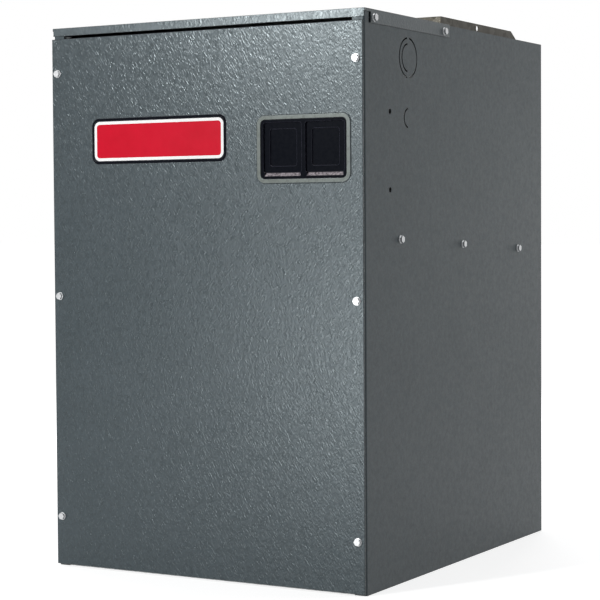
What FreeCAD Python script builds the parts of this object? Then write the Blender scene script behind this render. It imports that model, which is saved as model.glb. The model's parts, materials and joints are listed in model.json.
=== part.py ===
import FreeCAD, Part
import os
import Sketcher
from math import atan2, cos, radians, sin, sqrt, tau
from types import SimpleNamespace

# Modular blower: a sheet-steel cabinet with a screwed door, a centrifugal fan under a deck and a
# heater and control space above it. Millimetres. X to the viewer's right, Y to the back, Z up.
# The origin is at the middle of the footprint, on the floor.

Vector = FreeCAD.Vector
Rotation = FreeCAD.Rotation
Placement = FreeCAD.Placement

SIZES = {
    # cabinet sheet metal
    "cab_w": 444.5,
    "cab_d": 533.4,
    "cab_h": 682.6,
    "sheet": 1.0,
    "bend": 2.5,
    "face_flange": 16.0,
    "over": 6.0,
    # hexagon washer-head sheet-metal screw
    "washer_r": 4.9,
    "washer_t": 0.9,
    "hex_r": 4.3,
    "head_h": 3.9,
    "shank_r": 2.1,
    "shank_l": 12.7,
    "screw_play": 0.2,
    # access door
    "gasket_t": 2.5,
    "gasket_w": 11.5,
    "gasket_in": 3.5,
    "door_t": 2.0,
    "hem_w": 16.0,
    "door_foot": 2.0,
    "door_drop": 13.0,
    "door_edge_r": 0.9,
    "door_screw_in": 8.8,
    "door_screw_low": 63.6,
    "door_screw_top": 43.6,
    # name plate and its pressed recess, between the door's left edge and the window, below the door's top
    "plate_in": 64.0,
    "plate_gap": 45.4,
    "plate_drop": 130.6,
    "plate_h": 51.4,
    "plate_r": 7.0,
    "plate_t": 1.6,
    "plate_play": 2.6,
    "recess_t": 1.4,
    # breaker window, placed from the door's right edge and top
    "window_in": 79.1,
    "window_drop": 146.4,
    "window_w": 116.4,
    "window_h": 70.6,
    "window_r": 6.0,
    "rim_w": 5.4,
    "rim_t": 1.2,
    "bezel_play": 0.3,
    "bezel_wall": 3.2,
    "bezel_depth": 16.0,
    "bezel_set": 1.2,
    "bezel_lip": 2.0,
    "bezel_lip_w": 3.0,
    "bezel_bar": 5.0,
    "bezel_sill": 4.0,
    "blank_play": 0.3,
    "blank_t": 5.0,
    "blank_set": 2.4,
    "blank_frame": 7.5,
    "blank_dish": 1.6,
    "blank_tail": 8.0,
    "blank_wall": 2.0,
    # top cover
    "cover_d": 229.0,
    "cover_front": 9.0,
    "cover_side": 15.0,
    "cover_leg": 15.0,
    "cover_screw_front": 22.4,
    "cover_screw_rear": 213.0,
    "cover_screw_drop": 8.5,
    "relief_w": 4.0,
    # discharge frame and duct collar
    "collar_in": 12.0,
    "collar_front": 231.0,
    "collar_back": 58.4,
    "collar_h": 12.7,
    "collar_slant": 22.0,
    "collar_hole": 111.0,
    "collar_hole_rise": 7.0,
    "collar_hole_r": 3.5,
    "frame_tuck": 10.0,
    "frame_leg": 20.0,
    # base frame
    "base_up": 25.0,
    "return_in": 38.0,
    "return_lip": 12.7,
    # knockouts and pilot holes of the right side, from the front and the top
    "knock_y": 113.4,
    "knock_drop": 48.7,
    "knock_r": 23.6,
    "knock_core_r": 16.6,
    "knock_low_drop": 121.1,
    "knock_low_r": 11.2,
    "knock_slot": 2.0,
    "knock_tie": 14.0,
    "pilot_y": 64.4,
    "pilot_drop": 161.7,
    "pilot_pitch": 92.8,
    "pilot_r": 3.2,
    # deck rails and deck
    "deck_z": 391.0,
    "deck_t": 1.2,
    "deck_front": 25.0,
    "deck_play": 0.5,
    "rail_t": 1.2,
    "rail_w": 25.0,
    "rail_up": 40.0,
    "rail_set": 40.0,
    "rail_end": 30.0,
    "deck_screw_y": 91.2,
    "deck_screw_back": 85.6,
    "deck_screw_rise": 24.5,
    "deck_screw_fall": 7.8,
    # plenum partition and heater plate
    "wall_y": 226.0,
    "wall_foot": 14.0,
    "wall_brow": 3.5,
    "wall_play": 0.5,
    "heater_x": 92.0,
    "heater_w": 170.0,
    "heater_h": 180.0,
    "heater_lap": 14.0,
    # lining boards
    "lining_t": 12.7,
    "lining_gap": 3.0,
    # blower housing, measured from the wheel's axis
    "axis_back": 245.9,
    "outlet_rise": 152.0,
    "scroll_step": 24.0,
    "scroll_r": 128.0,
    "cutoff_y": 52.0,
    "wrap_t": 1.2,
    "plate_rim": 6.0,
    "housing_w": 236.0,
    "mouth_r": 112.0,
    "mouth_curl": 12.0,
    "tab_w": 16.0,
    "tab_screw_in": 24.0,
    # blower wheel
    "wheel_r": 127.0,
    "wheel_w": 203.0,
    "blade_root_r": 106.0,
    "blade_t": 0.8,
    "blade_lead": 9.0,
    "blade_curl": 17.0,
    "ring_w": 5.0,
    "ring_in_r": 114.0,
    "ring_lip": 1.0,
    "disc_t": 1.6,
    "disc_lap": 6.0,
    "hub_r": 17.0,
    "hub_l": 34.0,
    "hub_flange_r": 30.0,
    "hub_flange_t": 4.0,
    "set_screw_r": 3.0,
    "set_screw_l": 8.0,
    "set_screw_up": 11.0,
    # motor
    "shaft_r": 6.35,
    "shaft_play": 0.03,
    "fit_play": 0.1,
    "motor_x": 44.0,
    "motor_r": 70.0,
    "shell_t": 2.0,
    "shell_l": 96.0,
    "bell_d": 20.0,
    "bell_t": 3.0,
    "bell_rim": 5.0,
    "boss_r": 22.0,
    "boss_l": 12.0,
    "bearing_r": 14.0,
    "bearing_w": 9.0,
    "stator_w": 52.0,
    "stator_bore_r": 41.0,
    "winding_t": 13.0,
    "winding_in": 3.25,
    "winding_h": 18.0,
    "air_gap": 0.5,
    "rotor_w": 54.0,
    "shaft_end": 6.0,
    # motor mount
    "band_w": 24.0,
    "band_t": 2.5,
    "arm_w": 20.0,
    "arm_t": 3.0,
    "arm_r": 142.0,
    "bolt_circle_r": 131.0,
    "grommet_r": 8.5,
    "grommet_l": 9.0,
    "bolt_r": 3.1,
    "bolt_head_r": 5.8,
    "bolt_head_h": 4.2,
    "nut_h": 5.0,
    "bolt_play": 0.15,
    # run capacitor on the partition, from the right side and the deck as all the controls are
    "cap_in": 44.25,
    "cap_up": 159.8,
    "cap_w": 46.0,
    "cap_d": 32.0,
    "cap_h": 66.0,
    "strap_t": 0.8,
    "strap_w": 16.0,
    "strap_ear": 14.0,
    # transformer on the partition
    "core_in": 152.25,
    "core_up": 53.8,
    "core_w": 66.0,
    "core_h": 55.0,
    "core_stack": 26.0,
    "core_leg": 11.0,
    "coil_play": 0.3,
    "coil_out": 9.0,
    "foot_t": 1.2,
    "foot_ear": 13.0,
    # relay board on the partition
    "board_in": 140.25,
    "board_up": 167.8,
    "board_w": 96.0,
    "board_h": 84.0,
    "board_t": 1.6,
    "standoff_r": 3.5,
    "standoff_l": 9.0,
    "standoff_in": 7.0,
    "relay_w": 28.0,
    "relay_h": 30.0,
    "relay_d": 21.0,
    "tab_t": 0.8,
    "tab_h": 6.3,
    "tab_l": 9.0,
    "tab_pitch": 8.5,
    # terminal strip on the partition
    "strip_in": 70.25,
    "strip_up": 53.8,
    "strip_w": 62.0,
    "strip_h": 20.0,
    "strip_d": 12.0,
    "strip_rib": 1.6,
    "strip_rib_d": 4.0,
    "strip_screw_r": 3.2,
    "strip_screw_h": 2.2,
    # motor harness and deck grommet
    "harness_r": 4.0,
    "harness_play": 0.4,
    "harness_bend": 24.0,
    "harness_in": 46.25,
    "harness_y": 110.0,
    "harness_lift": 30.0,
    "harness_dip": 36.0,
    "harness_exit": 2.5,
    "eyelet_r": 9.0,
    "eyelet_lip": 2.5,
    "eyelet_t": 2.0,
    # leads between the controls
    "lead_r": 1.7,
    "lead_bend": 6.0,
    "lead_far": 15.0,
    "lead_near": 25.0,
    "lead_in": 12.0,
    "lead_top": 18.0,
    "cap_tab_x": 9.0,
}

COUNTS = SimpleNamespace(door_screws=3, deck_screws=3, blades=40, arms=3, tabs=5, poles=6)

doc = FreeCAD.newDocument("modular_blower")
dims_sheet = doc.addObject("Spreadsheet::Sheet", "Dims")


class Size:
    """A measure that keeps its sheet expression beside its present value."""

    def __init__(self, text, value):
        self.text = text
        self.value = value

    def __add__(self, other):
        other = as_size(other)
        return Size(f"({self.text} + {other.text})", self.value + other.value)

    def __sub__(self, other):
        other = as_size(other)
        return Size(f"({self.text} - {other.text})", self.value - other.value)

    def __mul__(self, other):
        other = as_size(other)
        return Size(f"({self.text} * {other.text})", self.value * other.value)

    def __truediv__(self, other):
        other = as_size(other)
        return Size(f"({self.text} / {other.text})", self.value / other.value)

    def __neg__(self):
        return Size(f"(0 - {self.text})", -self.value)


def as_size(measure):
    """Let a plain number stand where a sheet size is wanted."""
    if isinstance(measure, Size):
        return measure
    return Size(f"({measure})", float(measure))


def root_of(measure):
    return Size(f"sqrt({measure.text})", sqrt(measure.value))


def cosine(angle):
    return Size(f"cos({angle.text})", cos(radians(angle.value)))


def sine(angle):
    return Size(f"sin({angle.text})", sin(radians(angle.value)))


def fill_sheet():
    """Write every driving size into the sheet and return them by name."""
    for row, (name, value) in enumerate(SIZES.items(), start=1):
        dims_sheet.set(f"A{row}", name)
        dims_sheet.set(f"B{row}", str(value))
        dims_sheet.setAlias(f"B{row}", name)
    doc.recompute()
    return SimpleNamespace(**{name: Size(f"Dims.{name}", value) for name, value in SIZES.items()})


d = fill_sheet()

# Planes that many pieces share.
HALF_W = d.cab_w / 2
INNER_W = HALF_W - d.sheet
Y_BACK = (d.cab_d + d.gasket_t + d.door_t + d.head_h) / 2
Y_FACE = Y_BACK - d.cab_d
Y_INNER = Y_BACK - d.sheet
Y_DOOR_BACK = Y_FACE - d.gasket_t
Y_DOOR = Y_DOOR_BACK - d.door_t
Z_DOOR_TOP = d.cab_h - d.door_drop
WINDOW_X = HALF_W - d.window_in
WINDOW_Z = Z_DOOR_TOP - d.window_drop
BAY_Z = WINDOW_Z + d.bezel_sill / 2
PLATE_LEFT = d.plate_in - HALF_W
PLATE_RIGHT = WINDOW_X - d.window_w / 2 - d.rim_w - d.plate_gap
PLATE_W = PLATE_RIGHT - PLATE_LEFT
PLATE_X = (PLATE_LEFT + PLATE_RIGHT) / 2
PLATE_Z = Z_DOOR_TOP - d.plate_drop
COLLAR_FRONT = Y_FACE + d.collar_front
COLLAR_REAR = Y_BACK - d.collar_back
DECK_TOP = d.deck_z + d.deck_t
HEATER_Z = (DECK_TOP + d.cab_h) / 2
Y_WALL = Y_FACE + d.wall_y
AXIS_Y = Y_BACK - d.axis_back
AXIS_Z = d.deck_z - d.outlet_rise
PLATE_IN = d.housing_w / 2
PLATE_OUT = PLATE_IN + d.wrap_t
SHELL_START = d.motor_x + d.bell_d
SHELL_END = SHELL_START + d.shell_l
ARM_X = PLATE_OUT + d.grommet_l
SCREW_HOLE = d.shank_r + d.screw_play
CAP_X, CAP_Z = HALF_W - d.cap_in, DECK_TOP + d.cap_up
CORE_X, CORE_Z = HALF_W - d.core_in, DECK_TOP + d.core_up
BOARD_X, BOARD_Z = HALF_W - d.board_in, DECK_TOP + d.board_up
STRIP_X, STRIP_Z = HALF_W - d.strip_in, DECK_TOP + d.strip_up

TURNS = {
    "+X": Rotation(Vector(0, 1, 0), 90),
    "-X": Rotation(Vector(0, 1, 0), -90),
    "+Y": Rotation(Vector(1, 0, 0), -90),
    "-Y": Rotation(Vector(1, 0, 0), 90),
    "+Z": Rotation(),
    "-Z": Rotation(Vector(1, 0, 0), 180),
}
STEPS = {
    "+X": (1, 0, 0),
    "-X": (-1, 0, 0),
    "+Y": (0, 1, 0),
    "-Y": (0, -1, 0),
    "+Z": (0, 0, 1),
    "-Z": (0, 0, -1),
}
SIDES = {"left": -1, "right": 1}
EXACT_DIGITS = 9
QUARTER_TURN, HALF_TURN, FULL_TURN = 90, 180, 360

parts = {}


def keep(label, item):
    """Enter a finished piece under its node name."""
    item.Label = label
    parts[label] = item
    return item


def bind(item, prop, measure):
    item.setExpression(prop, as_size(measure).text)


def place(item, x, y, z, turn=Rotation()):
    """Put an item at a point that follows the sheet."""
    point = [as_size(measure) for measure in (x, y, z)]
    item.Placement = Placement(Vector(*(measure.value for measure in point)), turn)
    for key, measure in zip("xyz", point):
        bind(item, f"Placement.Base.{key}", measure)
    return item


def shifted(point, along, measure):
    """The point moved by a measure along a signed axis."""
    return [as_size(start) + measure * step for start, step in zip(point, STEPS[along])]


def block(name, xs, ys, zs):
    """A box between two limits on each axis."""
    item = doc.addObject("Part::Box", name)
    for prop, (low, high) in zip(("Length", "Width", "Height"), (xs, ys, zs)):
        bind(item, prop, as_size(high) - low)
    return place(item, xs[0], ys[0], zs[0])


def mirrored(side, low, high):
    """Limits on X for a piece on the given side of the middle plane."""
    return (low, high) if side > 0 else (-high, -low)


def grown(limits, measure):
    """Limits moved apart by a measure at each end."""
    return limits[0] - measure, limits[1] + measure


def around(middle, width):
    """Limits of a width about a middle."""
    return middle - width / 2, middle + width / 2


def rod(name, along, point, radius, length):
    """A cylinder that starts at a point and runs along a signed axis."""
    item = doc.addObject("Part::Cylinder", name)
    bind(item, "Radius", radius)
    bind(item, "Height", length)
    return place(item, *point, TURNS[along])


def hex_bar(name, along, point, radius, length):
    """A six-sided bar that starts at a point and runs along a signed axis."""
    item = doc.addObject("Part::Prism", name)
    item.Polygon = 6
    bind(item, "Circumradius", radius)
    bind(item, "Height", length)
    return place(item, *point, TURNS[along])


def group(name, items):
    item = doc.addObject("Part::Compound", name)
    item.Links = items
    return item


def fused(name, items):
    item = doc.addObject("Part::MultiFuse", name)
    item.Shapes = items
    return item


def cut(name, base, tools):
    """Take separate tools out of a base."""
    item = doc.addObject("Part::Cut", name)
    item.Base = base
    item.Tool = tools[0] if len(tools) == 1 else group(f"{name}_tools", tools)
    return item


def screw(name, along, seat):
    """A hexagon washer-head screw whose head points along a signed axis from its seat."""
    washer = rod(f"{name}_washer", along, seat, d.washer_r, d.washer_t)
    head = hex_bar(f"{name}_hex", along, seat, d.hex_r, d.head_h)
    shank = rod(f"{name}_shank", along, shifted(seat, along, -d.shank_l), d.shank_r, d.shank_l)
    return fused(name, [washer, head, shank])


def hole(name, along, point, radius):
    """A round cutter through thin sheet, run past both of its faces."""
    return rod(name, along, shifted(point, along, -d.over), radius, d.over * 2)


def new_body(name):
    return doc.addObject("PartDesign::Body", name)


def sketch(body, plane, name, offset=0):
    """A sketch on one of the body's own origin planes, moved along its normal."""
    drawing = body.newObject("Sketcher::SketchObject", name)
    planes = {item.Role: item for item in body.Origin.OriginFeatures}
    drawing.AttachmentSupport = (planes[plane], [""])
    drawing.MapMode = "FlatFace"
    offset = as_size(offset)
    drawing.AttachmentOffset = Placement(Vector(0, 0, offset.value), Rotation())
    bind(drawing, "AttachmentOffset.Base.z", offset)
    return drawing


def edge_between(start, end, turn, radius):
    """A line, or the short arc that turns left or right, with the numbers of its two ends."""
    first = Vector(start[0].value, start[1].value, 0)
    last = Vector(end[0].value, end[1].value, 0)
    if turn is None:
        return Part.LineSegment(first, last), 1, 2
    chord = last - first
    rise = sqrt(max(radius.value ** 2 - chord.Length ** 2 / 4, 0))
    normal = Vector(-chord.y, chord.x, 0).normalize()
    centre = (first + last) / 2 + normal * (rise if turn == "left" else -rise)
    begin, finish = (first, last) if turn == "left" else (last, first)
    angles = [atan2(end_point.y - centre.y, end_point.x - centre.x) for end_point in (begin, finish)]
    if angles[1] < angles[0]:
        angles[1] += tau
    arc = Part.ArcOfCircle(Part.Circle(centre, Vector(0, 0, 1), radius.value), *angles)
    return (arc, 1, 2) if turn == "left" else (arc, 2, 1)


def fix(drawing, measures):
    """Add dimension constraints, each bound to its expression."""
    for kind, places, measure in measures:
        index = drawing.addConstraint(Sketcher.Constraint(kind, *places, measure.value))
        bind(drawing, f"Constraints[{index}]", measure)


def outline(drawing, points):
    """A closed outline. A point is (x, y), or (x, y, turn, radius) when an arc leads to it."""
    corners = [(as_size(point[0]), as_size(point[1])) for point in points]
    bends = [(point[2], as_size(point[3])) if len(point) > 2 else (None, None) for point in points]
    edges = []
    for index, (turn, radius) in enumerate(bends):
        curve, begin, finish = edge_between(corners[index - 1], corners[index], turn, radius)
        edges.append((drawing.addGeometry(curve), begin, finish))
    measures = []
    for index, (number, begin, finish) in enumerate(edges):
        before = edges[index - 1]
        drawing.addConstraint(Sketcher.Constraint("Coincident", before[0], before[2], number, begin))
        measures.append(("DistanceX", (-1, 1, number, finish), corners[index][0]))
        measures.append(("DistanceY", (-1, 1, number, finish), corners[index][1]))
        if bends[index][0]:
            measures.append(("Radius", (number,), bends[index][1]))
    fix(drawing, measures)


def ring(drawing, x, y, radius):
    """A full circle in a sketch."""
    x, y, radius = as_size(x), as_size(y), as_size(radius)
    circle = Part.Circle(Vector(x.value, y.value, 0), Vector(0, 0, 1), radius.value)
    number = drawing.addGeometry(circle)
    centre = (-1, 1, number, 3)
    fix(drawing, [("DistanceX", centre, x), ("DistanceY", centre, y), ("Radius", (number,), radius)])


def rounded(drawing, x, y, width, height, radius):
    """A rectangle with round corners about a centre."""
    left, right = x - width / 2, x + width / 2
    low, high = y - height / 2, y + height / 2
    outline(drawing, [
        (left, low + radius),
        (left + radius, low, "left", radius),
        (right - radius, low),
        (right, low + radius, "left", radius),
        (right, high - radius),
        (right - radius, high, "left", radius),
        (left + radius, high),
        (left, high - radius, "left", radius),
    ])


def rectangle(drawing, xs, ys):
    outline(drawing, [(xs[0], ys[0]), (xs[1], ys[0]), (xs[1], ys[1]), (xs[0], ys[1])])


def feature(body, kind, name, drawing, length, reverse=False, middle=False):
    """A Pad or Pocket of a sketch."""
    item = body.newObject(f"PartDesign::{kind}", name)
    item.Profile = drawing
    item.Reversed = reverse
    if middle:
        item.SideType = "Symmetric"
    bind(item, "Length", length)
    return item


def turned(body, name, drawing, axis):
    """A full revolution of a sketch about one of the body's own axes."""
    item = body.newObject("PartDesign::Revolution", name)
    item.Profile = drawing
    axes = {line.Role: line for line in body.Origin.OriginFeatures}
    item.ReferenceAxis = (axes[axis], [""])
    item.Angle = FULL_TURN
    return item


def polar(body, name, original, axis, count):
    """A feature repeated evenly round one of the body's own axes."""
    item = body.newObject("PartDesign::PolarPattern", name)
    axes = {line.Role: line for line in body.Origin.OriginFeatures}
    item.Originals = [original]
    item.Axis = (axes[axis], [""])
    item.Angle = FULL_TURN
    item.Occurrences = count
    body.Tip = item
    return item


# Places of the fasteners, used by the screws and by every hole that they pass.

def door_screw_places():
    pitch = (Z_DOOR_TOP - d.door_screw_top - d.door_screw_low) / (COUNTS.door_screws - 1)
    for side in SIDES.values():
        for index in range(COUNTS.door_screws):
            yield (HALF_W - d.door_screw_in) * side, d.door_screw_low + pitch * index


def cover_screw_places():
    for along, side in (("-X", -1), ("+X", 1)):
        for offset in (d.cover_screw_front, d.cover_screw_rear):
            yield along, HALF_W * side, Y_FACE + offset, d.cab_h - d.cover_screw_drop


def deck_screw_places():
    pitch = (d.cab_d - d.deck_screw_y - d.deck_screw_back) / (COUNTS.deck_screws - 1)
    for along, side in (("-X", -1), ("+X", 1)):
        for index in range(COUNTS.deck_screws):
            y = Y_FACE + d.deck_screw_y + pitch * index
            z = d.deck_z + d.deck_screw_rise - d.deck_screw_fall * index
            yield along, HALF_W * side, y, z


def heater_screw_places():
    reach_x = (d.heater_w + d.heater_lap) / 2
    reach_z = (d.heater_h + d.heater_lap) / 2
    for across in SIDES.values():
        for up in SIDES.values():
            yield -d.heater_x + reach_x * across, HEATER_Z + reach_z * up


def housing_screw_places():
    x = PLATE_OUT + d.tab_w / 2
    for side in SIDES.values():
        for y in grown(outlet_limits(), -d.tab_screw_in):
            yield x * side, y


def scroll_rear():
    """Distance of the outlet's rear wall behind the wheel's axis."""
    return d.scroll_r + d.scroll_step * 3 + d.scroll_step / 2


def outlet_limits():
    """Front and rear of the blower's outlet."""
    return AXIS_Y + d.cutoff_y, AXIS_Y + scroll_rear()


# Cabinet.

def wrapper_outline():
    """Plan of the wrapper: two sides, a back and two front flanges with rounded bends."""
    near, far = Y_FACE, Y_BACK
    bend, inner, gauge = d.bend, d.bend - d.sheet, d.sheet
    lip = HALF_W - d.face_flange
    return [
        (-lip, near),
        (-HALF_W + bend, near),
        (-HALF_W, near + bend, "right", bend),
        (-HALF_W, far - bend),
        (-HALF_W + bend, far, "right", bend),
        (HALF_W - bend, far),
        (HALF_W, far - bend, "right", bend),
        (HALF_W, near + bend),
        (HALF_W - bend, near, "right", bend),
        (lip, near),
        (lip, near + gauge),
        (HALF_W - bend, near + gauge),
        (INNER_W, near + bend, "left", inner),
        (INNER_W, far - bend),
        (HALF_W - bend, far - gauge, "left", inner),
        (-HALF_W + bend, far - gauge),
        (-INNER_W, far - bend, "left", inner),
        (-INNER_W, near + bend),
        (-HALF_W + bend, near + gauge, "left", inner),
        (-lip, near + gauge),
    ]


def knockout_slot(name, z, radius, start, sweep):
    """A curved slot through the right side, part of a knockout's cut line. Z is the knockout's middle."""
    solids = []
    for label, reach in (("outer", radius + d.knock_slot / 2), ("inner", radius - d.knock_slot / 2)):
        disc = hole(f"{name}_{label}", "+X", (HALF_W, Y_FACE + d.knock_y, z), reach)
        disc.Placement.Rotation = Rotation(Vector(1, 0, 0), start).multiply(TURNS["+X"])
        solids.append(disc)
    bind(solids[0], "Angle", sweep)
    return cut(name, solids[0], solids[1:])


def knockout_slots():
    """A double knockout with two ties on its outer line, and a small one below it."""
    sweep = as_size(HALF_TURN) - d.knock_tie
    rear = SIZES["knock_tie"] / 2
    front = HALF_TURN + rear
    high, low = d.cab_h - d.knock_drop, d.cab_h - d.knock_low_drop
    return [
        knockout_slot("knock_front", high, d.knock_r, front, sweep),
        knockout_slot("knock_rear", high, d.knock_r, rear, sweep),
        knockout_slot("knock_core", high, d.knock_core_r, front, sweep),
        knockout_slot("knock_low", low, d.knock_low_r, front, sweep),
    ]


def wrapper_holes():
    tools = []
    for index, (x, z) in enumerate(door_screw_places()):
        tools.append(hole(f"wrapper_door_hole_{index}", "+Y", (x, Y_FACE, z), SCREW_HOLE))
    for index, (along, *point) in enumerate(cover_screw_places()):
        tools.append(hole(f"wrapper_cover_hole_{index}", along, point, SCREW_HOLE))
    for index, (along, *point) in enumerate(deck_screw_places()):
        tools.append(hole(f"wrapper_deck_hole_{index}", along, point, SCREW_HOLE))
    for step in SIDES.values():
        z = d.cab_h - d.pilot_drop + d.pilot_pitch / 2 * step
        tools.append(hole(f"pilot_hole_{z.value:.0f}", "+X", (HALF_W, Y_FACE + d.pilot_y, z), d.pilot_r))
    return tools


def corner_reliefs():
    """Slots in both sides just ahead of the top cover's legs, left where the corner was folded."""
    rear = Y_FACE + d.cover_leg
    ys = (rear - d.relief_w, rear)
    zs = (d.cab_h - d.cover_side, d.cab_h - d.bend)
    return [
        block(f"relief_{side}", mirrored(sign, HALF_W - d.over, HALF_W + d.over), ys, zs)
        for side, sign in SIDES.items()
    ]


def cabinet_wrapper():
    body = new_body("wrapper_sheet")
    plan = sketch(body, "XY_Plane", "wrapper_plan")
    outline(plan, wrapper_outline())
    feature(body, "Pad", "wrapper_pad", plan, d.cab_h)
    tools = wrapper_holes() + knockout_slots() + corner_reliefs()
    keep("cabinet_wrapper", cut("cabinet_wrapper", body, tools))


def base_frame():
    """Shallow tray with a lipped return-air opening."""
    xs, ys = (-INNER_W, INNER_W), (Y_FACE + d.bend, Y_BACK - d.bend)
    tray = block("base_outer", xs, ys, (0, d.base_up))
    hollow = block("base_hollow", grown(xs, -d.sheet), grown(ys, -d.sheet), (d.sheet, d.base_up + d.over))
    open_xs = grown((-HALF_W, HALF_W), -d.return_in)
    open_ys = grown((Y_FACE, Y_BACK), -d.return_in)
    lip = block("return_lip", grown(open_xs, d.sheet), grown(open_ys, d.sheet), (0, d.return_lip))
    opening = block("return_hole", open_xs, open_ys, (-d.over, d.return_lip + d.over))
    shell = fused("base_shell", [cut("base_tray", tray, [hollow]), lip])
    keep("base_frame", cut("base_frame", shell, [opening]))


def top_cover():
    """Folded cover over the front of the cabinet, with a front flange and two side legs."""
    wide, front, rear = HALF_W + d.sheet, Y_FACE - d.sheet, Y_FACE + d.cover_d
    foot = d.cab_h - d.cover_side
    inside = (-HALF_W, HALF_W)
    shell = block("cover_outer", (-wide, wide), (front, rear), (foot, d.cab_h + d.sheet))
    hollow = block("cover_hollow", inside, (Y_FACE, rear + d.over), (foot - d.over, d.cab_h))
    trim = block("cover_trim", inside, (front - d.over, Y_FACE), (foot - d.over, d.cab_h - d.cover_front))
    tools = [fused("cover_inside", [hollow, trim])]
    for side, sign in SIDES.items():
        xs = mirrored(sign, HALF_W, wide + d.over)
        tools.append(block(f"cover_step_{side}", xs, (front - d.over, Y_FACE + d.cover_leg),
                           (foot - d.over, d.cab_h - d.bend)))
    for index, (along, *point) in enumerate(cover_screw_places()):
        tools.append(hole(f"cover_hole_{index}", along, point, SCREW_HOLE))
    keep("top_cover", cut("top_cover", shell, tools))


def collar_sides():
    """The two side flanges of the duct collar, with a slanted rear end and a fixing hole."""
    front, rear = COLLAR_FRONT, COLLAR_REAR
    foot, head = d.cab_h - d.sheet, d.cab_h + d.collar_h
    flanges = []
    for side, sign in SIDES.items():
        body = new_body(f"collar_{side}")
        offset = (HALF_W - d.collar_in) * sign
        drawing = sketch(body, "YZ_Plane", f"collar_{side}_face", offset)
        slant = [(rear, d.cab_h), (rear - d.collar_slant, head)]
        outline(drawing, [(front, foot), (rear, foot), *slant, (front, head)])
        ring(drawing, front + d.collar_hole, d.cab_h + d.collar_hole_rise, d.collar_hole_r)
        feature(body, "Pad", f"collar_{side}_pad", drawing, d.sheet, reverse=sign > 0)
        flanges.append(body)
    return flanges


def discharge_frame():
    """Rear top plate with the discharge opening, its duct collar and legs inside the cabinet sides."""
    front, rear = COLLAR_FRONT, COLLAR_REAR
    wide = HALF_W - d.collar_in
    foot, head = d.cab_h - d.sheet, d.cab_h + d.collar_h
    start = Y_FACE + d.cover_d - d.frame_tuck
    finish = Y_BACK - d.bend
    plate = block("frame_plate", (-INNER_W, INNER_W), (start, finish), (foot, d.cab_h))
    short = wide - d.collar_slant
    ends = [
        block("collar_front", (-wide, wide), (front, front + d.sheet), (foot, head)),
        block("collar_rear", (-short, short), (rear - d.sheet, rear), (foot, head)),
    ]
    legs = [
        block(f"frame_leg_{side}", mirrored(sign, INNER_W - d.sheet, INNER_W), (start, finish),
              (d.cab_h - d.frame_leg, d.cab_h))
        for side, sign in SIDES.items()
    ]
    opening = block("discharge_hole", grown((-wide, wide), -d.sheet), grown((front, rear), -d.sheet),
                    (foot - d.over, head + d.over))
    holed = cut("frame_open", plate, [opening])
    keep("discharge_frame", fused("discharge_frame", [holed, *ends, *legs, *collar_sides()]))


def cabinet_screws():
    heads = [screw(f"cover_screw_{index}", along, shifted(point, along, d.sheet))
             for index, (along, *point) in enumerate(cover_screw_places())]
    keep("cover_screws", group("cover_screws", heads))
    heads = [screw(f"deck_screw_{index}", along, point)
             for index, (along, *point) in enumerate(deck_screw_places())]
    keep("deck_screws", group("deck_screws", heads))


# Door.

def door_skin(body):
    """Hemmed door sheet: full thickness round its edge, single sheet inside."""
    tall = Z_DOOR_TOP - d.door_foot
    middle = d.door_foot + tall / 2
    face = sketch(body, "XZ_Plane", "door_face", -Y_DOOR_BACK)
    rectangle(face, (-HALF_W, HALF_W), (d.door_foot, Z_DOOR_TOP))
    skin = feature(body, "Pad", "door_pad", face, d.door_t)
    doc.recompute()
    rim = body.newObject("PartDesign::Fillet", "door_edges")
    rim.Base = (skin, [f"Edge{number}" for number, edge in enumerate(skin.Shape.Edges, start=1)
                       if abs(edge.BoundBox.YMax - Y_DOOR.value) < d.sheet.value / 2])
    bind(rim, "Radius", d.door_edge_r)
    back = sketch(body, "XZ_Plane", "door_back", -Y_DOOR_BACK)
    rounded(back, as_size(0), middle, d.cab_w - d.hem_w * 2, tall - d.hem_w * 2, d.bend)
    feature(body, "Pocket", "door_hollow", back, d.door_t - d.sheet, reverse=True)


def door_recess(body):
    """Pressed recess for the name plate: a dish behind the skin, sunk from the front."""
    wide, tall = PLATE_W + d.plate_play * 2, d.plate_h + d.plate_play * 2
    corner = d.plate_r + d.plate_play
    dish = sketch(body, "XZ_Plane", "recess_back", -Y_DOOR - d.sheet)
    rounded(dish, PLATE_X, PLATE_Z, wide + d.sheet * 2, tall + d.sheet * 2, corner + d.sheet)
    feature(body, "Pad", "recess_pad", dish, d.recess_t, reverse=True)
    front = sketch(body, "XZ_Plane", "recess_front", -Y_DOOR)
    rounded(front, PLATE_X, PLATE_Z, wide, tall, corner)
    feature(body, "Pocket", "recess_sink", front, d.recess_t)


def door_window(body):
    """Breaker window with a raised, rolled rim."""
    x, z = WINDOW_X, WINDOW_Z
    rim = sketch(body, "XZ_Plane", "window_rim", -Y_DOOR - d.sheet)
    rounded(rim, x, z, d.window_w + d.rim_w * 2, d.window_h + d.rim_w * 2, d.window_r + d.rim_w)
    pad = feature(body, "Pad", "window_pad", rim, d.rim_t + d.sheet)
    doc.recompute()
    front = Y_DOOR.value - d.rim_t.value
    roll = body.newObject("PartDesign::Fillet", "window_roll")
    roll.Base = (pad, [f"Edge{number}" for number, edge in enumerate(pad.Shape.Edges, start=1)
                       if abs(edge.BoundBox.YMax - front) < d.sheet.value / 10])
    bind(roll, "Radius", d.rim_t - d.screw_play)
    hole_face = sketch(body, "XZ_Plane", "window_face", -Y_DOOR + d.rim_t + d.over)
    rounded(hole_face, x, z, d.window_w, d.window_h, d.window_r)
    feature(body, "Pocket", "window_cut", hole_face, d.door_t + d.rim_t + d.over * 2)


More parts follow.
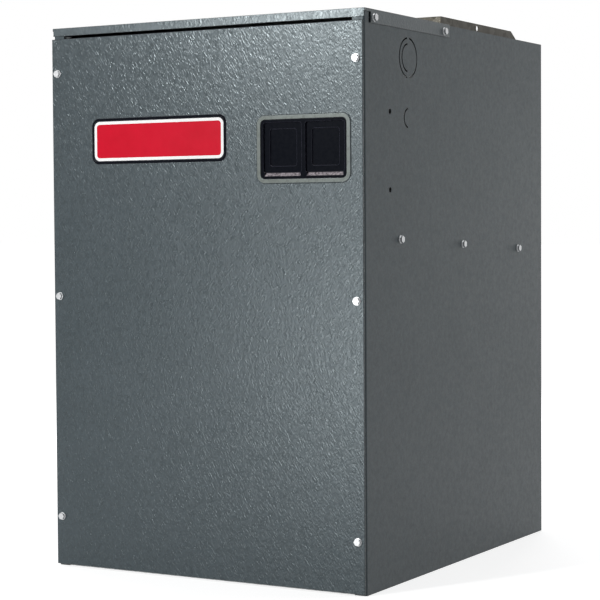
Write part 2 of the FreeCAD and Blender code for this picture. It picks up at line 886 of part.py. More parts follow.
def access_door():
    body = new_body("door_sheet")
    door_skin(body)
    door_recess(body)
    door_window(body)
    tools = [hole(f"door_hole_{index}", "+Y", (x, Y_DOOR, z), SCREW_HOLE)
             for index, (x, z) in enumerate(door_screw_places())]
    keep("access_door", cut("access_door", body, tools))


def door_screws():
    heads = [screw(f"door_screw_{index}", "-Y", (x, Y_DOOR, z))
             for index, (x, z) in enumerate(door_screw_places())]
    keep("door_screws", group("door_screws", heads))


def door_gasket():
    """A foam strip on each front flange, which the door presses."""
    strips = []
    for side, sign in SIDES.items():
        xs = mirrored(sign, HALF_W - d.gasket_in - d.gasket_w, HALF_W - d.gasket_in)
        strip = block(f"gasket_strip_{side}", xs, (Y_DOOR_BACK, Y_FACE),
                      (d.door_foot + d.hem_w, Z_DOOR_TOP - d.hem_w))
        tools = [hole(f"gasket_hole_{side}_{index}", "+Y", (x, Y_FACE, z), SCREW_HOLE)
                 for index, (x, z) in enumerate(door_screw_places()) if x.value * sign > 0]
        strips.append(cut(f"gasket_{side}", strip, tools))
    keep("door_gasket", group("door_gasket", strips))


def door_lining():
    """Lining board glued to the back of the door, inside the blower space."""
    wide = HALF_W - d.face_flange - d.lining_gap
    back = Y_DOOR + d.sheet
    keep("door_lining", block("door_lining", (-wide, wide), (back, back + d.lining_t),
                              (d.base_up + d.lining_gap, d.deck_z - d.deck_front - d.lining_gap)))


def name_plate():
    """Blank plate on the floor of the door's recess."""
    body = new_body("name_plate")
    floor = -Y_DOOR - d.recess_t
    face = sketch(body, "XZ_Plane", "plate_face", floor)
    rounded(face, PLATE_X, PLATE_Z, PLATE_W, d.plate_h, d.plate_r)
    feature(body, "Pad", "plate_pad", face, d.plate_t)
    keep("name_plate", body)


def bezel_size():
    """Width and height of the bezel's frame inside the window."""
    return d.window_w - d.bezel_play * 2, d.window_h - d.bezel_play * 2


def bay_size():
    """Width and height of one of the bezel's two bays, above its sloped sill."""
    wide, tall = bezel_size()
    return (wide - d.bezel_wall * 2 - d.bezel_bar) / 2, tall - d.bezel_wall * 2 - d.bezel_sill


def bay_middle(sign):
    return WINDOW_X + (bay_size()[0] + d.bezel_bar) / 2 * sign


def bezel_sill(body, side, sign):
    """Slope that leads down to the front from the lower edge of a bay."""
    front = Y_DOOR - d.rim_t + d.bezel_set
    low = BAY_Z - bay_size()[1] / 2
    face = sketch(body, "YZ_Plane", f"sill_{side}", bay_middle(sign))
    outline(face, [
        (front - d.over, low - d.bezel_sill - d.over),
        (front + d.bezel_sill + d.over, low + d.over),
        (front - d.over, low + d.over),
    ])
    feature(body, "Pocket", f"sill_{side}_cut", face, bay_size()[0] - d.bezel_wall, middle=True)


def breaker_bezel():
    """Black frame in the door window, with a lip behind the sheet and a bar between its two bays."""
    body = new_body("breaker_bezel")
    x, z = WINDOW_X, WINDOW_Z
    wide, tall = bezel_size()
    corner = d.window_r - d.bezel_play
    front = -Y_DOOR + d.rim_t - d.bezel_set
    face = sketch(body, "XZ_Plane", "bezel_face", front)
    rounded(face, x, z, wide, tall, corner)
    feature(body, "Pad", "bezel_pad", face, d.bezel_depth, reverse=True)
    lip = sketch(body, "XZ_Plane", "bezel_lip", -Y_DOOR_BACK + d.door_t - d.sheet)
    rounded(lip, x, z, wide + d.bezel_lip_w * 2, tall + d.bezel_lip_w * 2, corner + d.bezel_lip_w)
    feature(body, "Pad", "bezel_lip_pad", lip, d.bezel_lip, reverse=True)
    for side, sign in SIDES.items():
        bay = sketch(body, "XZ_Plane", f"bay_{side}", front + d.over)
        rounded(bay, bay_middle(sign), BAY_Z, *bay_size(), d.bezel_wall)
        feature(body, "Pocket", f"bay_{side}_cut", bay, d.bezel_depth + d.over * 2)
        bezel_sill(body, side, sign)
    keep("breaker_bezel", body)


def breaker_blanks():
    """One dished blank in each bay, with a hollow tail that slides in the bezel."""
    wide, tall = (measure - d.blank_play * 2 for measure in bay_size())
    front = -Y_DOOR + d.rim_t - d.bezel_set - d.blank_set
    for side, sign in SIDES.items():
        body = new_body(f"breaker_blank_{side}")
        middle = bay_middle(sign)
        face = sketch(body, "XZ_Plane", f"blank_{side}_face", front)
        rounded(face, middle, BAY_Z, wide, tall, d.bezel_wall - d.blank_play)
        feature(body, "Pad", f"blank_{side}_pad", face, d.blank_t + d.blank_tail, reverse=True)
        dish = sketch(body, "XZ_Plane", f"blank_{side}_dish", front)
        rounded(dish, middle, BAY_Z, wide - d.blank_frame * 2, tall - d.blank_frame * 2, d.bezel_wall)
        feature(body, "Pocket", f"blank_{side}_sink", dish, d.blank_dish)
        back = sketch(body, "XZ_Plane", f"blank_{side}_back", front - d.blank_t - d.blank_tail)
        rounded(back, middle, BAY_Z, wide - d.blank_wall * 2, tall - d.blank_wall * 2, d.blank_wall)
        feature(body, "Pocket", f"blank_{side}_core", back, d.blank_tail, reverse=True)
        keep(f"breaker_blank_{side}", body)


# Deck, partition and linings.

def deck_rails():
    """Angle rails screwed to the cabinet sides, which carry the blower deck."""
    ys = (Y_FACE + d.rail_set, Y_BACK - d.rail_end)
    low, high = d.deck_z - d.rail_t, d.deck_z + d.rail_up
    for side, sign in SIDES.items():
        upright = block(f"rail_web_{side}", mirrored(sign, INNER_W - d.rail_t, INNER_W), ys, (low, high))
        ledge = block(f"rail_ledge_{side}", mirrored(sign, INNER_W - d.rail_w, INNER_W), ys, (low, d.deck_z))
        angle = fused(f"rail_angle_{side}", [upright, ledge])
        tools = [hole(f"rail_hole_{side}_{index}", along, point, SCREW_HOLE)
                 for index, (along, *point) in enumerate(deck_screw_places()) if point[0].value * sign > 0]
        keep(f"deck_rail_{side}", cut(f"deck_rail_{side}", angle, tools))


def deck_eyelet_point():
    return HALF_W - d.harness_in, Y_FACE + d.harness_y


def blower_deck():
    """Shelf between blower and plenum, with the blower's outlet and a folded front edge."""
    wide = INNER_W - d.rail_t - d.deck_play
    front, rear = Y_FACE + d.sheet + d.deck_play, Y_INNER - d.deck_play
    shelf = block("deck_shelf", (-wide, wide), (front, rear), (d.deck_z, DECK_TOP))
    apron_w = HALF_W - d.face_flange - d.deck_play
    apron = block("deck_apron", (-apron_w, apron_w), (front, front + d.deck_t),
                  (d.deck_z - d.deck_front, d.deck_z))
    outlet = block("deck_outlet", (-PLATE_IN, PLATE_IN), outlet_limits(), grown((d.deck_z, DECK_TOP), d.over))
    tools = [outlet]
    for index, (x, y) in enumerate(housing_screw_places()):
        tools.append(hole(f"deck_housing_hole_{index}", "+Z", (x, y, d.deck_z), SCREW_HOLE))
    tools.append(hole("deck_eyelet_hole", "+Z", (*deck_eyelet_point(), d.deck_z), d.eyelet_r))
    keep("blower_deck", cut("blower_deck", fused("deck_folded", [shelf, apron]), tools))


def plenum_partition():
    """Upright wall behind the control space, with a folded foot, a folded head and the heater opening."""
    wide = INNER_W - d.rail_t - d.wall_play
    head = d.cab_h - d.sheet
    web = block("wall_web", (-wide, wide), (Y_WALL, Y_WALL + d.sheet), (DECK_TOP, head))
    foot = block("wall_foot", (-wide, wide), (Y_WALL - d.wall_foot, Y_WALL), (DECK_TOP, DECK_TOP + d.sheet))
    reach = INNER_W - d.sheet - d.wall_play
    brow = block("wall_brow", grown((-reach, reach), -d.sheet), (Y_WALL, Y_WALL + d.wall_brow),
                 (head - d.sheet, head))
    opening = block("heater_hole", around(-d.heater_x, d.heater_w), grown((Y_WALL, Y_WALL), d.over),
                    around(HEATER_Z, d.heater_h))
    tools = [opening]
    for index, (x, z) in enumerate(heater_screw_places()):
        tools.append(hole(f"wall_hole_{index}", "+Y", (x, Y_WALL, z), SCREW_HOLE))
    keep("plenum_partition", cut("plenum_partition", fused("wall_folded", [web, foot, brow]), tools))


def heater_plate():
    """Blanking plate over the heater opening, with its four screws."""
    wide, tall = d.heater_w + d.heater_lap * 2, d.heater_h + d.heater_lap * 2
    front = Y_WALL - d.sheet
    plate = block("heater_sheet", around(-d.heater_x, wide), (front, Y_WALL), around(HEATER_Z, tall))
    tools = []
    heads = []
    for index, (x, z) in enumerate(heater_screw_places()):
        tools.append(hole(f"heater_hole_{index}", "+Y", (x, front, z), SCREW_HOLE))
        heads.append(screw(f"heater_screw_{index}", "-Y", (x, front, z)))
    keep("heater_blank_plate", cut("heater_blank_plate", plate, tools))
    keep("heater_screws", group("heater_screws", heads))


def side_linings():
    """Boards on both sides: one in the blower space and one in the plenum."""
    gap = d.lining_gap
    low_zs = (d.base_up + gap, d.deck_z - d.rail_t - gap)
    high_zs = (d.deck_z + d.rail_up + gap, d.cab_h - d.frame_leg - gap)
    for side, sign in SIDES.items():
        xs = mirrored(sign, INNER_W - d.lining_t, INNER_W)
        low = block(f"lining_low_{side}", xs, (Y_FACE + d.face_flange, Y_INNER - d.lining_t), low_zs)
        high = block(f"lining_high_{side}", xs, (Y_WALL + d.sheet + gap, Y_INNER - d.lining_t), high_zs)
        keep(f"lining_{side}", group(f"lining_{side}", [low, high]))


def back_lining():
    gap = d.lining_gap
    xs, ys = (-HALF_W + d.bend, HALF_W - d.bend), (Y_INNER - d.lining_t, Y_INNER)
    low = block("lining_low_back", xs, ys, (d.base_up + gap, d.deck_z - d.rail_t - gap))
    high = block("lining_high_back", xs, ys, (DECK_TOP + gap, d.cab_h - d.frame_leg - gap))
    keep("lining_back", group("lining_back", [low, high]))


# Blower housing. Its sketches are drawn about the wheel's axis: across is Y, up is Z.

def scroll_points(grow):
    """Scroll from the cutoff round the front, bottom and rear to the outlet, moved outward by grow.

    Four quarter arcs about the corners of a small square widen the passage evenly."""
    half = d.scroll_step / 2
    radii = [d.scroll_r + d.scroll_step * index + grow for index in range(4)]
    nose_y = d.cutoff_y - grow
    nose_z = half + root_of(radii[0] * radii[0] - (nose_y + half) * (nose_y + half))
    return [
        (nose_y, d.outlet_rise),
        (nose_y, nose_z),
        (-half, half + radii[0], "left", radii[0]),
        (-half - radii[1], -half, "left", radii[1]),
        (half, -half - radii[2], "left", radii[2]),
        (half + radii[3], half, "left", radii[3]),
        (half + radii[3], d.outlet_rise),
    ]


def reversed_points(points):
    """The same open outline walked the other way."""
    back = []
    for index in range(len(points) - 1, -1, -1):
        after = points[index + 1] if index + 1 < len(points) else points[index][:2]
        bend = ("right", after[3]) if len(after) > 2 else ()
        back.append((*points[index][:2], *bend))
    return back


def scroll_wrap():
    body = new_body("scroll_wrap")
    section = sketch(body, "YZ_Plane", "scroll_section")
    outline(section, scroll_points(as_size(0)) + reversed_points(scroll_points(d.wrap_t)))
    feature(body, "Pad", "scroll_pad", section, d.housing_w, middle=True)
    keep("scroll_wrap", place(body, 0, AXIS_Y, AXIS_Z))


def mouth_profile(body, side, sign):
    """Quarter-round section of the inlet's rolled mouth, drawn with X across and the radius up."""
    curl, gauge = d.mouth_curl, d.wrap_t
    lip = PLATE_IN - curl
    inner, outer = d.mouth_r - curl, d.mouth_r - curl - gauge
    turns = ("right", "left") if sign > 0 else ("left", "right")
    drawing = sketch(body, "XZ_Plane", f"mouth_{side}_section")
    outline(drawing, [
        (PLATE_IN * sign, d.mouth_r),
        (lip * sign, inner, turns[0], curl),
        (lip * sign, outer),
        (PLATE_OUT * sign, d.mouth_r, turns[1], curl + gauge),
    ])
    return drawing


def housing_side(side, sign):
    """Side plate with the scroll's outline, a rolled inlet mouth and a tab under the deck."""
    body = new_body(f"housing_sheet_{side}")
    face = sketch(body, "YZ_Plane", f"housing_{side}_face", PLATE_IN * sign)
    outline(face, scroll_points(d.plate_rim))
    ring(face, 0, 0, d.mouth_r)
    feature(body, "Pad", f"housing_{side}_pad", face, d.wrap_t, reverse=sign < 0)
    turned(body, f"mouth_{side}", mouth_profile(body, side, sign), "X_Axis")
    place(body, 0, AXIS_Y, AXIS_Z)
    xs = mirrored(sign, PLATE_OUT, PLATE_OUT + d.tab_w)
    tab = block(f"housing_tab_{side}", xs, outlet_limits(), (d.deck_z - d.wrap_t, d.deck_z))
    tools = [hole(f"tab_hole_{side}_{index}", "+Z", (x, y, d.deck_z), SCREW_HOLE)
             for index, (x, y) in enumerate(housing_screw_places()) if x.value * sign > 0]
    for index, (y, z) in enumerate(arm_places(d.bolt_circle_r)):
        if sign > 0:
            tools.append(hole(f"mount_hole_{index}", "+X", (PLATE_IN, y, z), d.bolt_r + d.bolt_play))
    keep(f"housing_side_{side}", cut(f"housing_side_{side}", fused(f"housing_{side}", [body, tab]), tools))


def blower_housing():
    scroll_wrap()
    for side, sign in SIDES.items():
        housing_side(side, sign)
    heads = [screw(f"housing_screw_{index}", "+Z", (x, y, DECK_TOP))
             for index, (x, y) in enumerate(housing_screw_places())]
    keep("housing_screws", group("housing_screws", heads))


# Blower wheel. Positive turning about X throws the air up at the rear.

def blade_points():
    """Forward-curved blade: a thin arc from the root circle to the rim, leaning the way it turns."""
    root, tip, lead = d.blade_root_r, d.wheel_r - d.ring_lip, d.blade_lead
    half = d.blade_t / 2
    root_left, root_right = (root, half), (root, -half)
    tip_y, tip_z = tip * cosine(lead), tip * sine(lead)
    return [
        root_right,
        (tip_y + half, tip_z - half, "left", d.blade_curl + half),
        (tip_y - half, tip_z + half),
        (*root_left, "right", d.blade_curl - half),
    ]


def blower_wheel():
    """Double-inlet wheel: a centre disc, a ring of blades through it and a rim at each end."""
    body = new_body("blower_wheel")
    face = sketch(body, "YZ_Plane", "disc_face")
    ring(face, 0, 0, d.blade_root_r + d.disc_lap)
    ring(face, 0, 0, d.hub_r + d.fit_play)
    feature(body, "Pad", "disc_pad", face, d.disc_t, middle=True)
    section = sketch(body, "YZ_Plane", "blade_section")
    outline(section, blade_points())
    blade = feature(body, "Pad", "blade_pad", section, d.wheel_w - d.ring_w * 2, middle=True)
    polar(body, "blade_ring", blade, "X_Axis", COUNTS.blades)
    for side, sign in SIDES.items():
        rim = sketch(body, "YZ_Plane", f"rim_{side}_face", (d.wheel_w / 2 - d.ring_w) * sign)
        ring(rim, 0, 0, d.wheel_r)
        ring(rim, 0, 0, d.ring_in_r)
        feature(body, "Pad", f"rim_{side}_pad", rim, d.ring_w, reverse=sign < 0)
    keep("blower_wheel", place(body, 0, AXIS_Y, AXIS_Z))


def on_axis(x):
    return x, AXIS_Y, AXIS_Z


def wheel_hub():
    """Flanged steel hub on the shaft, with a set screw; its boss points away from the motor."""
    bore = d.shaft_r + d.shaft_play
    inside = d.disc_t / 2
    body = new_body("hub_turned")
    section = sketch(body, "XZ_Plane", "hub_section")
    outline(section, [
        (inside, bore),
        (inside, d.hub_r),
        (-inside, d.hub_r),
        (-inside, d.hub_flange_r),
        (-inside - d.hub_flange_t, d.hub_flange_r),
        (-inside - d.hub_flange_t, d.hub_r),
        (-inside - d.hub_l, d.hub_r),
        (-inside - d.hub_l, bore),
    ])
    turned(body, "hub_turn", section, "X_Axis")
    place(body, 0, AXIS_Y, AXIS_Z)
    screw_x = -inside - d.hub_l + d.set_screw_up
    foot = AXIS_Z + d.shaft_r + d.shaft_play
    bored = rod("set_screw_bore", "+Z", on_axis(screw_x), d.set_screw_r + d.bolt_play, d.hub_r + d.over)
    keep("wheel_hub", cut("wheel_hub", body, [bored]))
    pin = rod("set_screw_pin", "+Z", (screw_x, AXIS_Y, foot), d.set_screw_r, d.set_screw_l)
    key_foot = (screw_x, AXIS_Y, foot + d.set_screw_l / 2)
    socket = hex_bar("set_screw_socket", "+Z", key_foot, d.set_screw_r / 2, d.set_screw_l)
    keep("hub_set_screw", cut("hub_set_screw", pin, [socket]))


# Motor, on the wheel's axis to the right of the centre disc.

def tube(name, start, length, outer, inner):
    """A plain ring on the wheel's axis."""
    body = rod(f"{name}_solid", "+X", on_axis(start), outer, length)
    bore = rod(f"{name}_bore", "+X", on_axis(start - d.over), inner, length + d.over * 2)
    return cut(name, body, [bore])


def end_bell(label, plane, sign):
    """Dished end bell with a bearing boss, drawn from the plane where it meets the shell."""
    reach, wall = d.bell_d, d.bell_t
    body = new_body(label)
    section = sketch(body, "XZ_Plane", f"{label}_section")
    bore, seat = d.shaft_r + d.air_gap, d.bearing_r
    rim, slope = d.motor_r, d.boss_r + d.boss_l
    outline(section, [
        (0, rim),
        (d.bell_rim * sign, rim),
        (reach * sign, slope),
        (reach * sign, bore),
        ((reach - wall) * sign, bore),
        ((reach - wall) * sign, seat),
        ((reach - wall - d.bearing_w) * sign, seat),
        ((reach - wall - d.bearing_w) * sign, d.boss_r),
        ((reach - wall) * sign, d.boss_r),
        ((reach - wall) * sign, slope - wall),
        (d.bell_rim * sign, rim - d.shell_t - wall),
        (0, rim - d.shell_t - wall),
    ])
    turned(body, f"{label}_turn", section, "X_Axis")
    keep(label, place(body, *on_axis(plane)))


def motor_bearings():
    width = d.bearing_w
    front = d.motor_x + d.bell_t
    rear = SHELL_END + d.bell_d - d.bell_t - width
    inner, outer = d.shaft_r + d.shaft_play, d.bearing_r - d.fit_play
    pair = [tube(f"bearing_{index}", start, width, outer, inner) for index, start in enumerate((front, rear))]
    keep("motor_bearings", group("motor_bearings", pair))


def motor_stack():
    """Stator ring, its end windings, the rotor and the shaft."""
    middle = SHELL_START + d.shell_l / 2
    start = middle - d.stator_w / 2
    outer = d.motor_r - d.shell_t - d.fit_play
    keep("motor_stator", tube("motor_stator", start, d.stator_w, outer, d.stator_bore_r))
    ring_in = d.stator_bore_r + d.winding_in
    ring_out = ring_in + d.winding_t
    coils = [tube("winding_front", start - d.winding_h, d.winding_h, ring_out, ring_in),
             tube("winding_rear", start + d.stator_w, d.winding_h, ring_out, ring_in)]
    keep("motor_windings", group("motor_windings", coils))
    keep("motor_rotor", tube("motor_rotor", middle - d.rotor_w / 2, d.rotor_w, d.stator_bore_r - d.air_gap,
                             d.shaft_r + d.shaft_play))
    first = -d.disc_t / 2 - d.hub_l - d.shaft_end
    last = SHELL_END + d.bell_d + d.shaft_end
    keep("motor_shaft", rod("motor_shaft", "+X", on_axis(first), d.shaft_r, last - first))


def motor():
    keep("motor_shell", tube("motor_shell", SHELL_START, d.shell_l, d.motor_r, d.motor_r - d.shell_t))
    end_bell("motor_bell_front", SHELL_START, -1)
    end_bell("motor_bell_rear", SHELL_END, 1)
    motor_bearings()
    motor_stack()


def compass(degrees):
    """Cosine and sine of an angle, free of rounding dust."""
    angle = radians(degrees)
    return round(cos(angle), EXACT_DIGITS), round(sin(angle), EXACT_DIGITS)


def arm_places(radius):
    """Points on a circle about the wheel's axis, one on each mount arm, the first straight above."""
    for index in range(COUNTS.arms):
        across, up = compass(QUARTER_TURN + FULL_TURN / COUNTS.arms * index)
        yield AXIS_Y + radius * across, AXIS_Z + radius * up


def motor_mount():
    """Belly band round the motor with three welded arms."""
    start = ARM_X
    band_r = d.motor_r + d.band_t
    solid = [rod("band_solid", "+X", on_axis(start), band_r, d.band_w)]
    for index in range(COUNTS.arms):
        arm = block(f"arm_{index}", (0, d.arm_t), (-d.arm_w / 2, d.arm_w / 2), (0, d.arm_r))
        place(arm, start, *arm_corner(index), Rotation(Vector(1, 0, 0), FULL_TURN / COUNTS.arms * index))
        solid.append(arm)
    tools = [rod("band_bore", "+X", on_axis(start - d.over), d.motor_r + d.fit_play, d.band_w + d.over * 2)]
    for index, (y, z) in enumerate(arm_places(d.bolt_circle_r)):
        tools.append(hole(f"arm_hole_{index}", "+X", (start, y, z), d.bolt_r + d.bolt_play))
    keep("motor_mount", cut("motor_mount", fused("mount_solid", solid), tools))


def arm_corner(index):
    """Where an arm's inner corner lands when the arm is turned about the wheel's axis."""
    across, up = compass(FULL_TURN / COUNTS.arms * index)
    half = d.arm_w / 2
    return AXIS_Y - half * across, AXIS_Z - half * up


def mount_hardware():
    """Rubber grommets between arms and housing, with the bolts and nuts that clamp them."""
    bush = []
    bolts = []
    for index, (y, z) in enumerate(arm_places(d.bolt_circle_r)):
        solid = rod(f"grommet_solid_{index}", "+X", (PLATE_OUT, y, z), d.grommet_r, d.grommet_l)
        middle = PLATE_OUT + d.grommet_l / 2
        bore = hole(f"grommet_bore_{index}", "+X", (middle, y, z), d.bolt_r + d.bolt_play)
        bush.append(cut(f"grommet_{index}", solid, [bore]))
        top = ARM_X + d.arm_t
        length = top - PLATE_IN + d.nut_h
        stem = rod(f"bolt_stem_{index}", "+X", (PLATE_IN - d.nut_h, y, z), d.bolt_r, length)
        head = hex_bar(f"bolt_head_{index}", "+X", (top, y, z), d.bolt_head_r, d.bolt_head_h)
        nut = hex_bar(f"bolt_nut_{index}", "-X", (PLATE_IN, y, z), d.bolt_head_r, d.nut_h)
        bolts.append(fused(f"mount_bolt_{index}", [stem, head, nut]))
    keep("mount_grommets", group("mount_grommets", bush))
    keep("mount_bolts", group("mount_bolts", bolts))


# Controls on the partition. Their backs stand on its front face.

def run_capacitor():
    """Oval can held to the partition by a strap."""
    body = new_body("run_capacitor")
    half, deep = d.cap_w / 2, d.cap_d / 2
    low = CAP_Z - d.cap_h / 2
    middle = Y_WALL - deep
    straight = half - deep
    section = sketch(body, "XY_Plane", "can_section", low)
    outline(section, [
        (CAP_X + straight, middle - deep),
        (CAP_X + half, middle, "left", deep),
        (CAP_X + straight, middle + deep, "left", deep),
        (CAP_X - straight, middle + deep),
        (CAP_X - half, middle, "left", deep),
        (CAP_X - straight, middle - deep, "left", deep),
    ])
    feature(body, "Pad", "can_pad", section, d.cap_h)
    keep("run_capacitor", body)


def capacitor_strap():
    """Metal strap over the can, with an ear on each side."""
    body = new_body("strap_folded")
    half, deep, gauge = d.cap_w / 2, d.cap_d / 2, d.strap_t
    middle = Y_WALL - deep
    straight = half - deep
    reach = half + d.strap_ear
    section = sketch(body, "XY_Plane", "strap_section", CAP_Z - d.strap_w / 2)
    outline(section, [
        (CAP_X - reach, Y_WALL),
        (CAP_X - reach, Y_WALL - gauge),
        (CAP_X - half - gauge, Y_WALL - gauge),
        (CAP_X - half - gauge, middle),
        (CAP_X - straight, middle - deep - gauge, "left", deep + gauge),
        (CAP_X + straight, middle - deep - gauge),
        (CAP_X + half + gauge, middle, "left", deep + gauge),
        (CAP_X + half + gauge, Y_WALL - gauge),
        (CAP_X + reach, Y_WALL - gauge),
        (CAP_X + reach, Y_WALL),
        (CAP_X + half, Y_WALL),
        (CAP_X + half, middle),
        (CAP_X + straight, middle - deep, "right", deep),
        (CAP_X - straight, middle - deep),
        (CAP_X - half, middle, "right", deep),
        (CAP_X - half, Y_WALL),
    ])
    feature(body, "Pad", "strap_pad", section, d.strap_w)
    keep("capacitor_strap", body)


def transformer():
    """Laminated core with two windows, the coil round its middle leg, and a sheet foot."""
    x, z, leg = CORE_X, CORE_Z, d.core_leg
    half_w, half_h = d.core_w / 2, d.core_h / 2
    foot_front = Y_WALL - d.foot_t
    rear = foot_front - d.coil_out
    ys = (rear - d.core_stack, rear)
    core = block("core_block", (x - half_w, x + half_w), ys, (z - half_h, z + half_h))
    windows = []
    for side, sign in SIDES.items():
        low, high = (leg, half_w - leg) if sign > 0 else (leg - half_w, -leg)
        windows.append(block(f"core_window_{side}", (x + low, x + high), grown(ys, d.over),
                             (z - half_h + leg, z + half_h - leg)))
    keep("transformer_core", cut("transformer_core", core, windows))
    out, tall = half_w - leg - d.coil_play, half_h - leg - d.coil_play
    winding = block("coil_block", (x - out, x + out), grown(ys, d.coil_out), (z - tall, z + tall))
    bore = block("coil_bore", grown((x - leg, x + leg), d.coil_play), grown(ys, d.coil_play),
                 (z - half_h, z + half_h))
    keep("transformer_coil", cut("transformer_coil", winding, [bore]))
    transformer_foot(x, z, half_w, half_h, ys)


def transformer_foot(x, z, half_w, half_h, ys):
    """Channel that holds the core's top and bottom and is fixed flat on the partition."""
    gauge = d.foot_t
    back = block("foot_back", (x - half_w, x + half_w), (Y_WALL - gauge, Y_WALL),
                 (z - half_h - d.foot_ear, z + half_h + d.foot_ear))
    cheeks = [
        block("foot_low", (x - half_w, x + half_w), (ys[0], Y_WALL), (z - half_h - gauge, z - half_h)),
        block("foot_high", (x - half_w, x + half_w), (ys[0], Y_WALL), (z + half_h, z + half_h + gauge)),
    ]
    keep("transformer_foot", fused("transformer_foot", [back, *cheeks]))


def relay_board():
    """Printed board on four standoffs, with a relay cube and a row of spade tabs."""
    x, z = BOARD_X, BOARD_Z
    rear = Y_WALL - d.standoff_l
    front = rear - d.board_t
    half_w, half_h = d.board_w / 2, d.board_h / 2
    keep("relay_board", block("relay_board", around(x, d.board_w), (front, rear), around(z, d.board_h)))
    posts = []
    for across in SIDES.values():
        for up in SIDES.values():
            point = (x + (half_w - d.standoff_in) * across, Y_WALL, z + (half_h - d.standoff_in) * up)
            posts.append(rod(f"standoff_{across}_{up}", "-Y", point, d.standoff_r, d.standoff_l))
    keep("board_standoffs", group("board_standoffs", posts))
    relay_left = x - half_w + d.standoff_in * 2
    keep("fan_relay", block("fan_relay", (relay_left, relay_left + d.relay_w), (front - d.relay_d, front),
                            around(z, d.relay_h)))
    tabs = []
    for index in range(COUNTS.tabs):
        left = x + d.tab_pitch * index
        xs, ys = (left, left + d.tab_t), (front - d.tab_l, front)
        tabs.append(block(f"spade_{index}", xs, ys, (z, z + d.tab_h)))
    keep("board_tabs", group("board_tabs", tabs))


def pole_middle(index):
    """Middle on X of one pole of the terminal strip."""
    pitch = (d.strip_w - d.strip_rib) / COUNTS.poles
    return STRIP_X - d.strip_w / 2 + d.strip_rib / 2 + pitch * (index + 0.5)


def terminal_strip():
    """Low-voltage terminal block with raised ribs between its screws."""
    x, z = STRIP_X, STRIP_Z
    half_w, half_h = d.strip_w / 2, d.strip_h / 2
    front = Y_WALL - d.strip_d
    base = block("strip_base", (x - half_w, x + half_w), (front, Y_WALL), (z - half_h, z + half_h))
    pitch = (d.strip_w - d.strip_rib) / COUNTS.poles
    ribs = []
    heads = []
    for index in range(COUNTS.poles + 1):
        left = x - half_w + pitch * index
        ribs.append(block(f"strip_rib_{index}", (left, left + d.strip_rib), (front - d.strip_rib_d, front),
                          (z - half_h, z + half_h)))
    for index in range(COUNTS.poles):
        point = (pole_middle(index), front, z)
        heads.append(rod(f"strip_screw_{index}", "-Y", point, d.strip_screw_r, d.strip_screw_h))
    keep("terminal_strip", fused("terminal_strip", [base, *ribs]))
    keep("terminal_screws", group("terminal_screws", heads))


# Leads and harness.

def point_of(x, y, z):
    """A plain point with the present values of three sizes."""
    return Vector(*(as_size(measure).value for measure in (x, y, z)))


def pipe(route, radius):
    """A round solid along a route of lines and arcs."""
    first = route.OrderedEdges[0]
    heading = first.tangentAt(first.FirstParameter)
    section = Part.Wire(Part.Edge(Part.Circle(route.OrderedVertexes[0].Point, heading, radius)))
    return route.makePipeShell([section], True, False)


def bridge(start, end, front):
    """A lead that leaves one piece forward, crosses at a given depth and enters another piece."""
    corners = [start, Vector(start.x, front, start.z), Vector(end.x, front, end.z), end]
    return pipe(rounded_route(corners, d.lead_bend.value), d.lead_r.value)


def control_leads():
    """Short leads between transformer, relay board, terminal strip and capacitor."""
    coil_y = Y_WALL - d.foot_t - d.coil_out * 2 - d.core_stack
    board_y = Y_WALL - d.standoff_l - d.board_t
    strip_y = Y_WALL - d.strip_d
    can_y = Y_WALL - d.cap_d / 2 - d.tab_t / 2
    board_low = BOARD_Z - d.board_h / 2 + d.lead_in
    board_high = BOARD_Z + d.board_h / 2 - d.lead_top
    strip_up = STRIP_Z + d.strip_h / 2 - d.lead_r * 2
    strip_end = point_of(pole_middle(0), strip_y, strip_up)
    far = (coil_y - d.lead_far).value
    near = (board_y - d.lead_near).value
    left, right = CORE_X - d.core_leg, CORE_X + d.core_leg
    tubes = [
        bridge(point_of(left, coil_y, CORE_Z + d.core_leg), point_of(left, board_y, board_low), far),
        bridge(point_of(right, coil_y, CORE_Z), strip_end, far),
        bridge(point_of(CAP_X - d.cap_tab_x, can_y, CAP_Z + (d.cap_h + d.tab_l) / 2),
               point_of(BOARD_X + d.lead_in * 2, board_y, board_high), near),
    ]
    item = doc.addObject("Part::Feature", "control_leads")
    item.Shape = Part.makeCompound(tubes)
    keep("control_leads", item)


def capacitor_tabs():
    """Spade terminals on top of the can."""
    middle, top = Y_WALL - d.cap_d / 2, CAP_Z + d.cap_h / 2
    tabs = []
    for side, sign in SIDES.items():
        x = CAP_X + d.cap_tab_x * sign
        ys, zs = around(middle, d.tab_t), (top, top + d.tab_l)
        tabs.append(block(f"can_tab_{side}", around(x, d.tab_h), ys, zs))
    keep("capacitor_tabs", group("capacitor_tabs", tabs))


# Motor harness: from the motor's rear bell forward and up through the deck to the relay board.

def rounded_route(points, radius):
    """A path of straight runs joined by arcs of one radius."""
    edges = []
    start = points[0]
    for before, corner, after in zip(points, points[1:], points[2:]):
        way_in = (corner - before).normalize()
        way_out = (after - corner).normalize()
        angle = way_in.getAngle(way_out)
        trim = radius * sin(angle / 2) / cos(angle / 2)
        first, last = corner - way_in * trim, corner + way_out * trim
        inward = (way_out - way_in).normalize()
        middle = corner + inward * (radius / cos(angle / 2) - radius)
        edges.append(Part.LineSegment(start, first).toShape())
        edges.append(Part.Arc(first, middle, last).toShape())
        start = last
    edges.append(Part.LineSegment(start, points[-1]).toShape())
    return Part.Wire(edges)


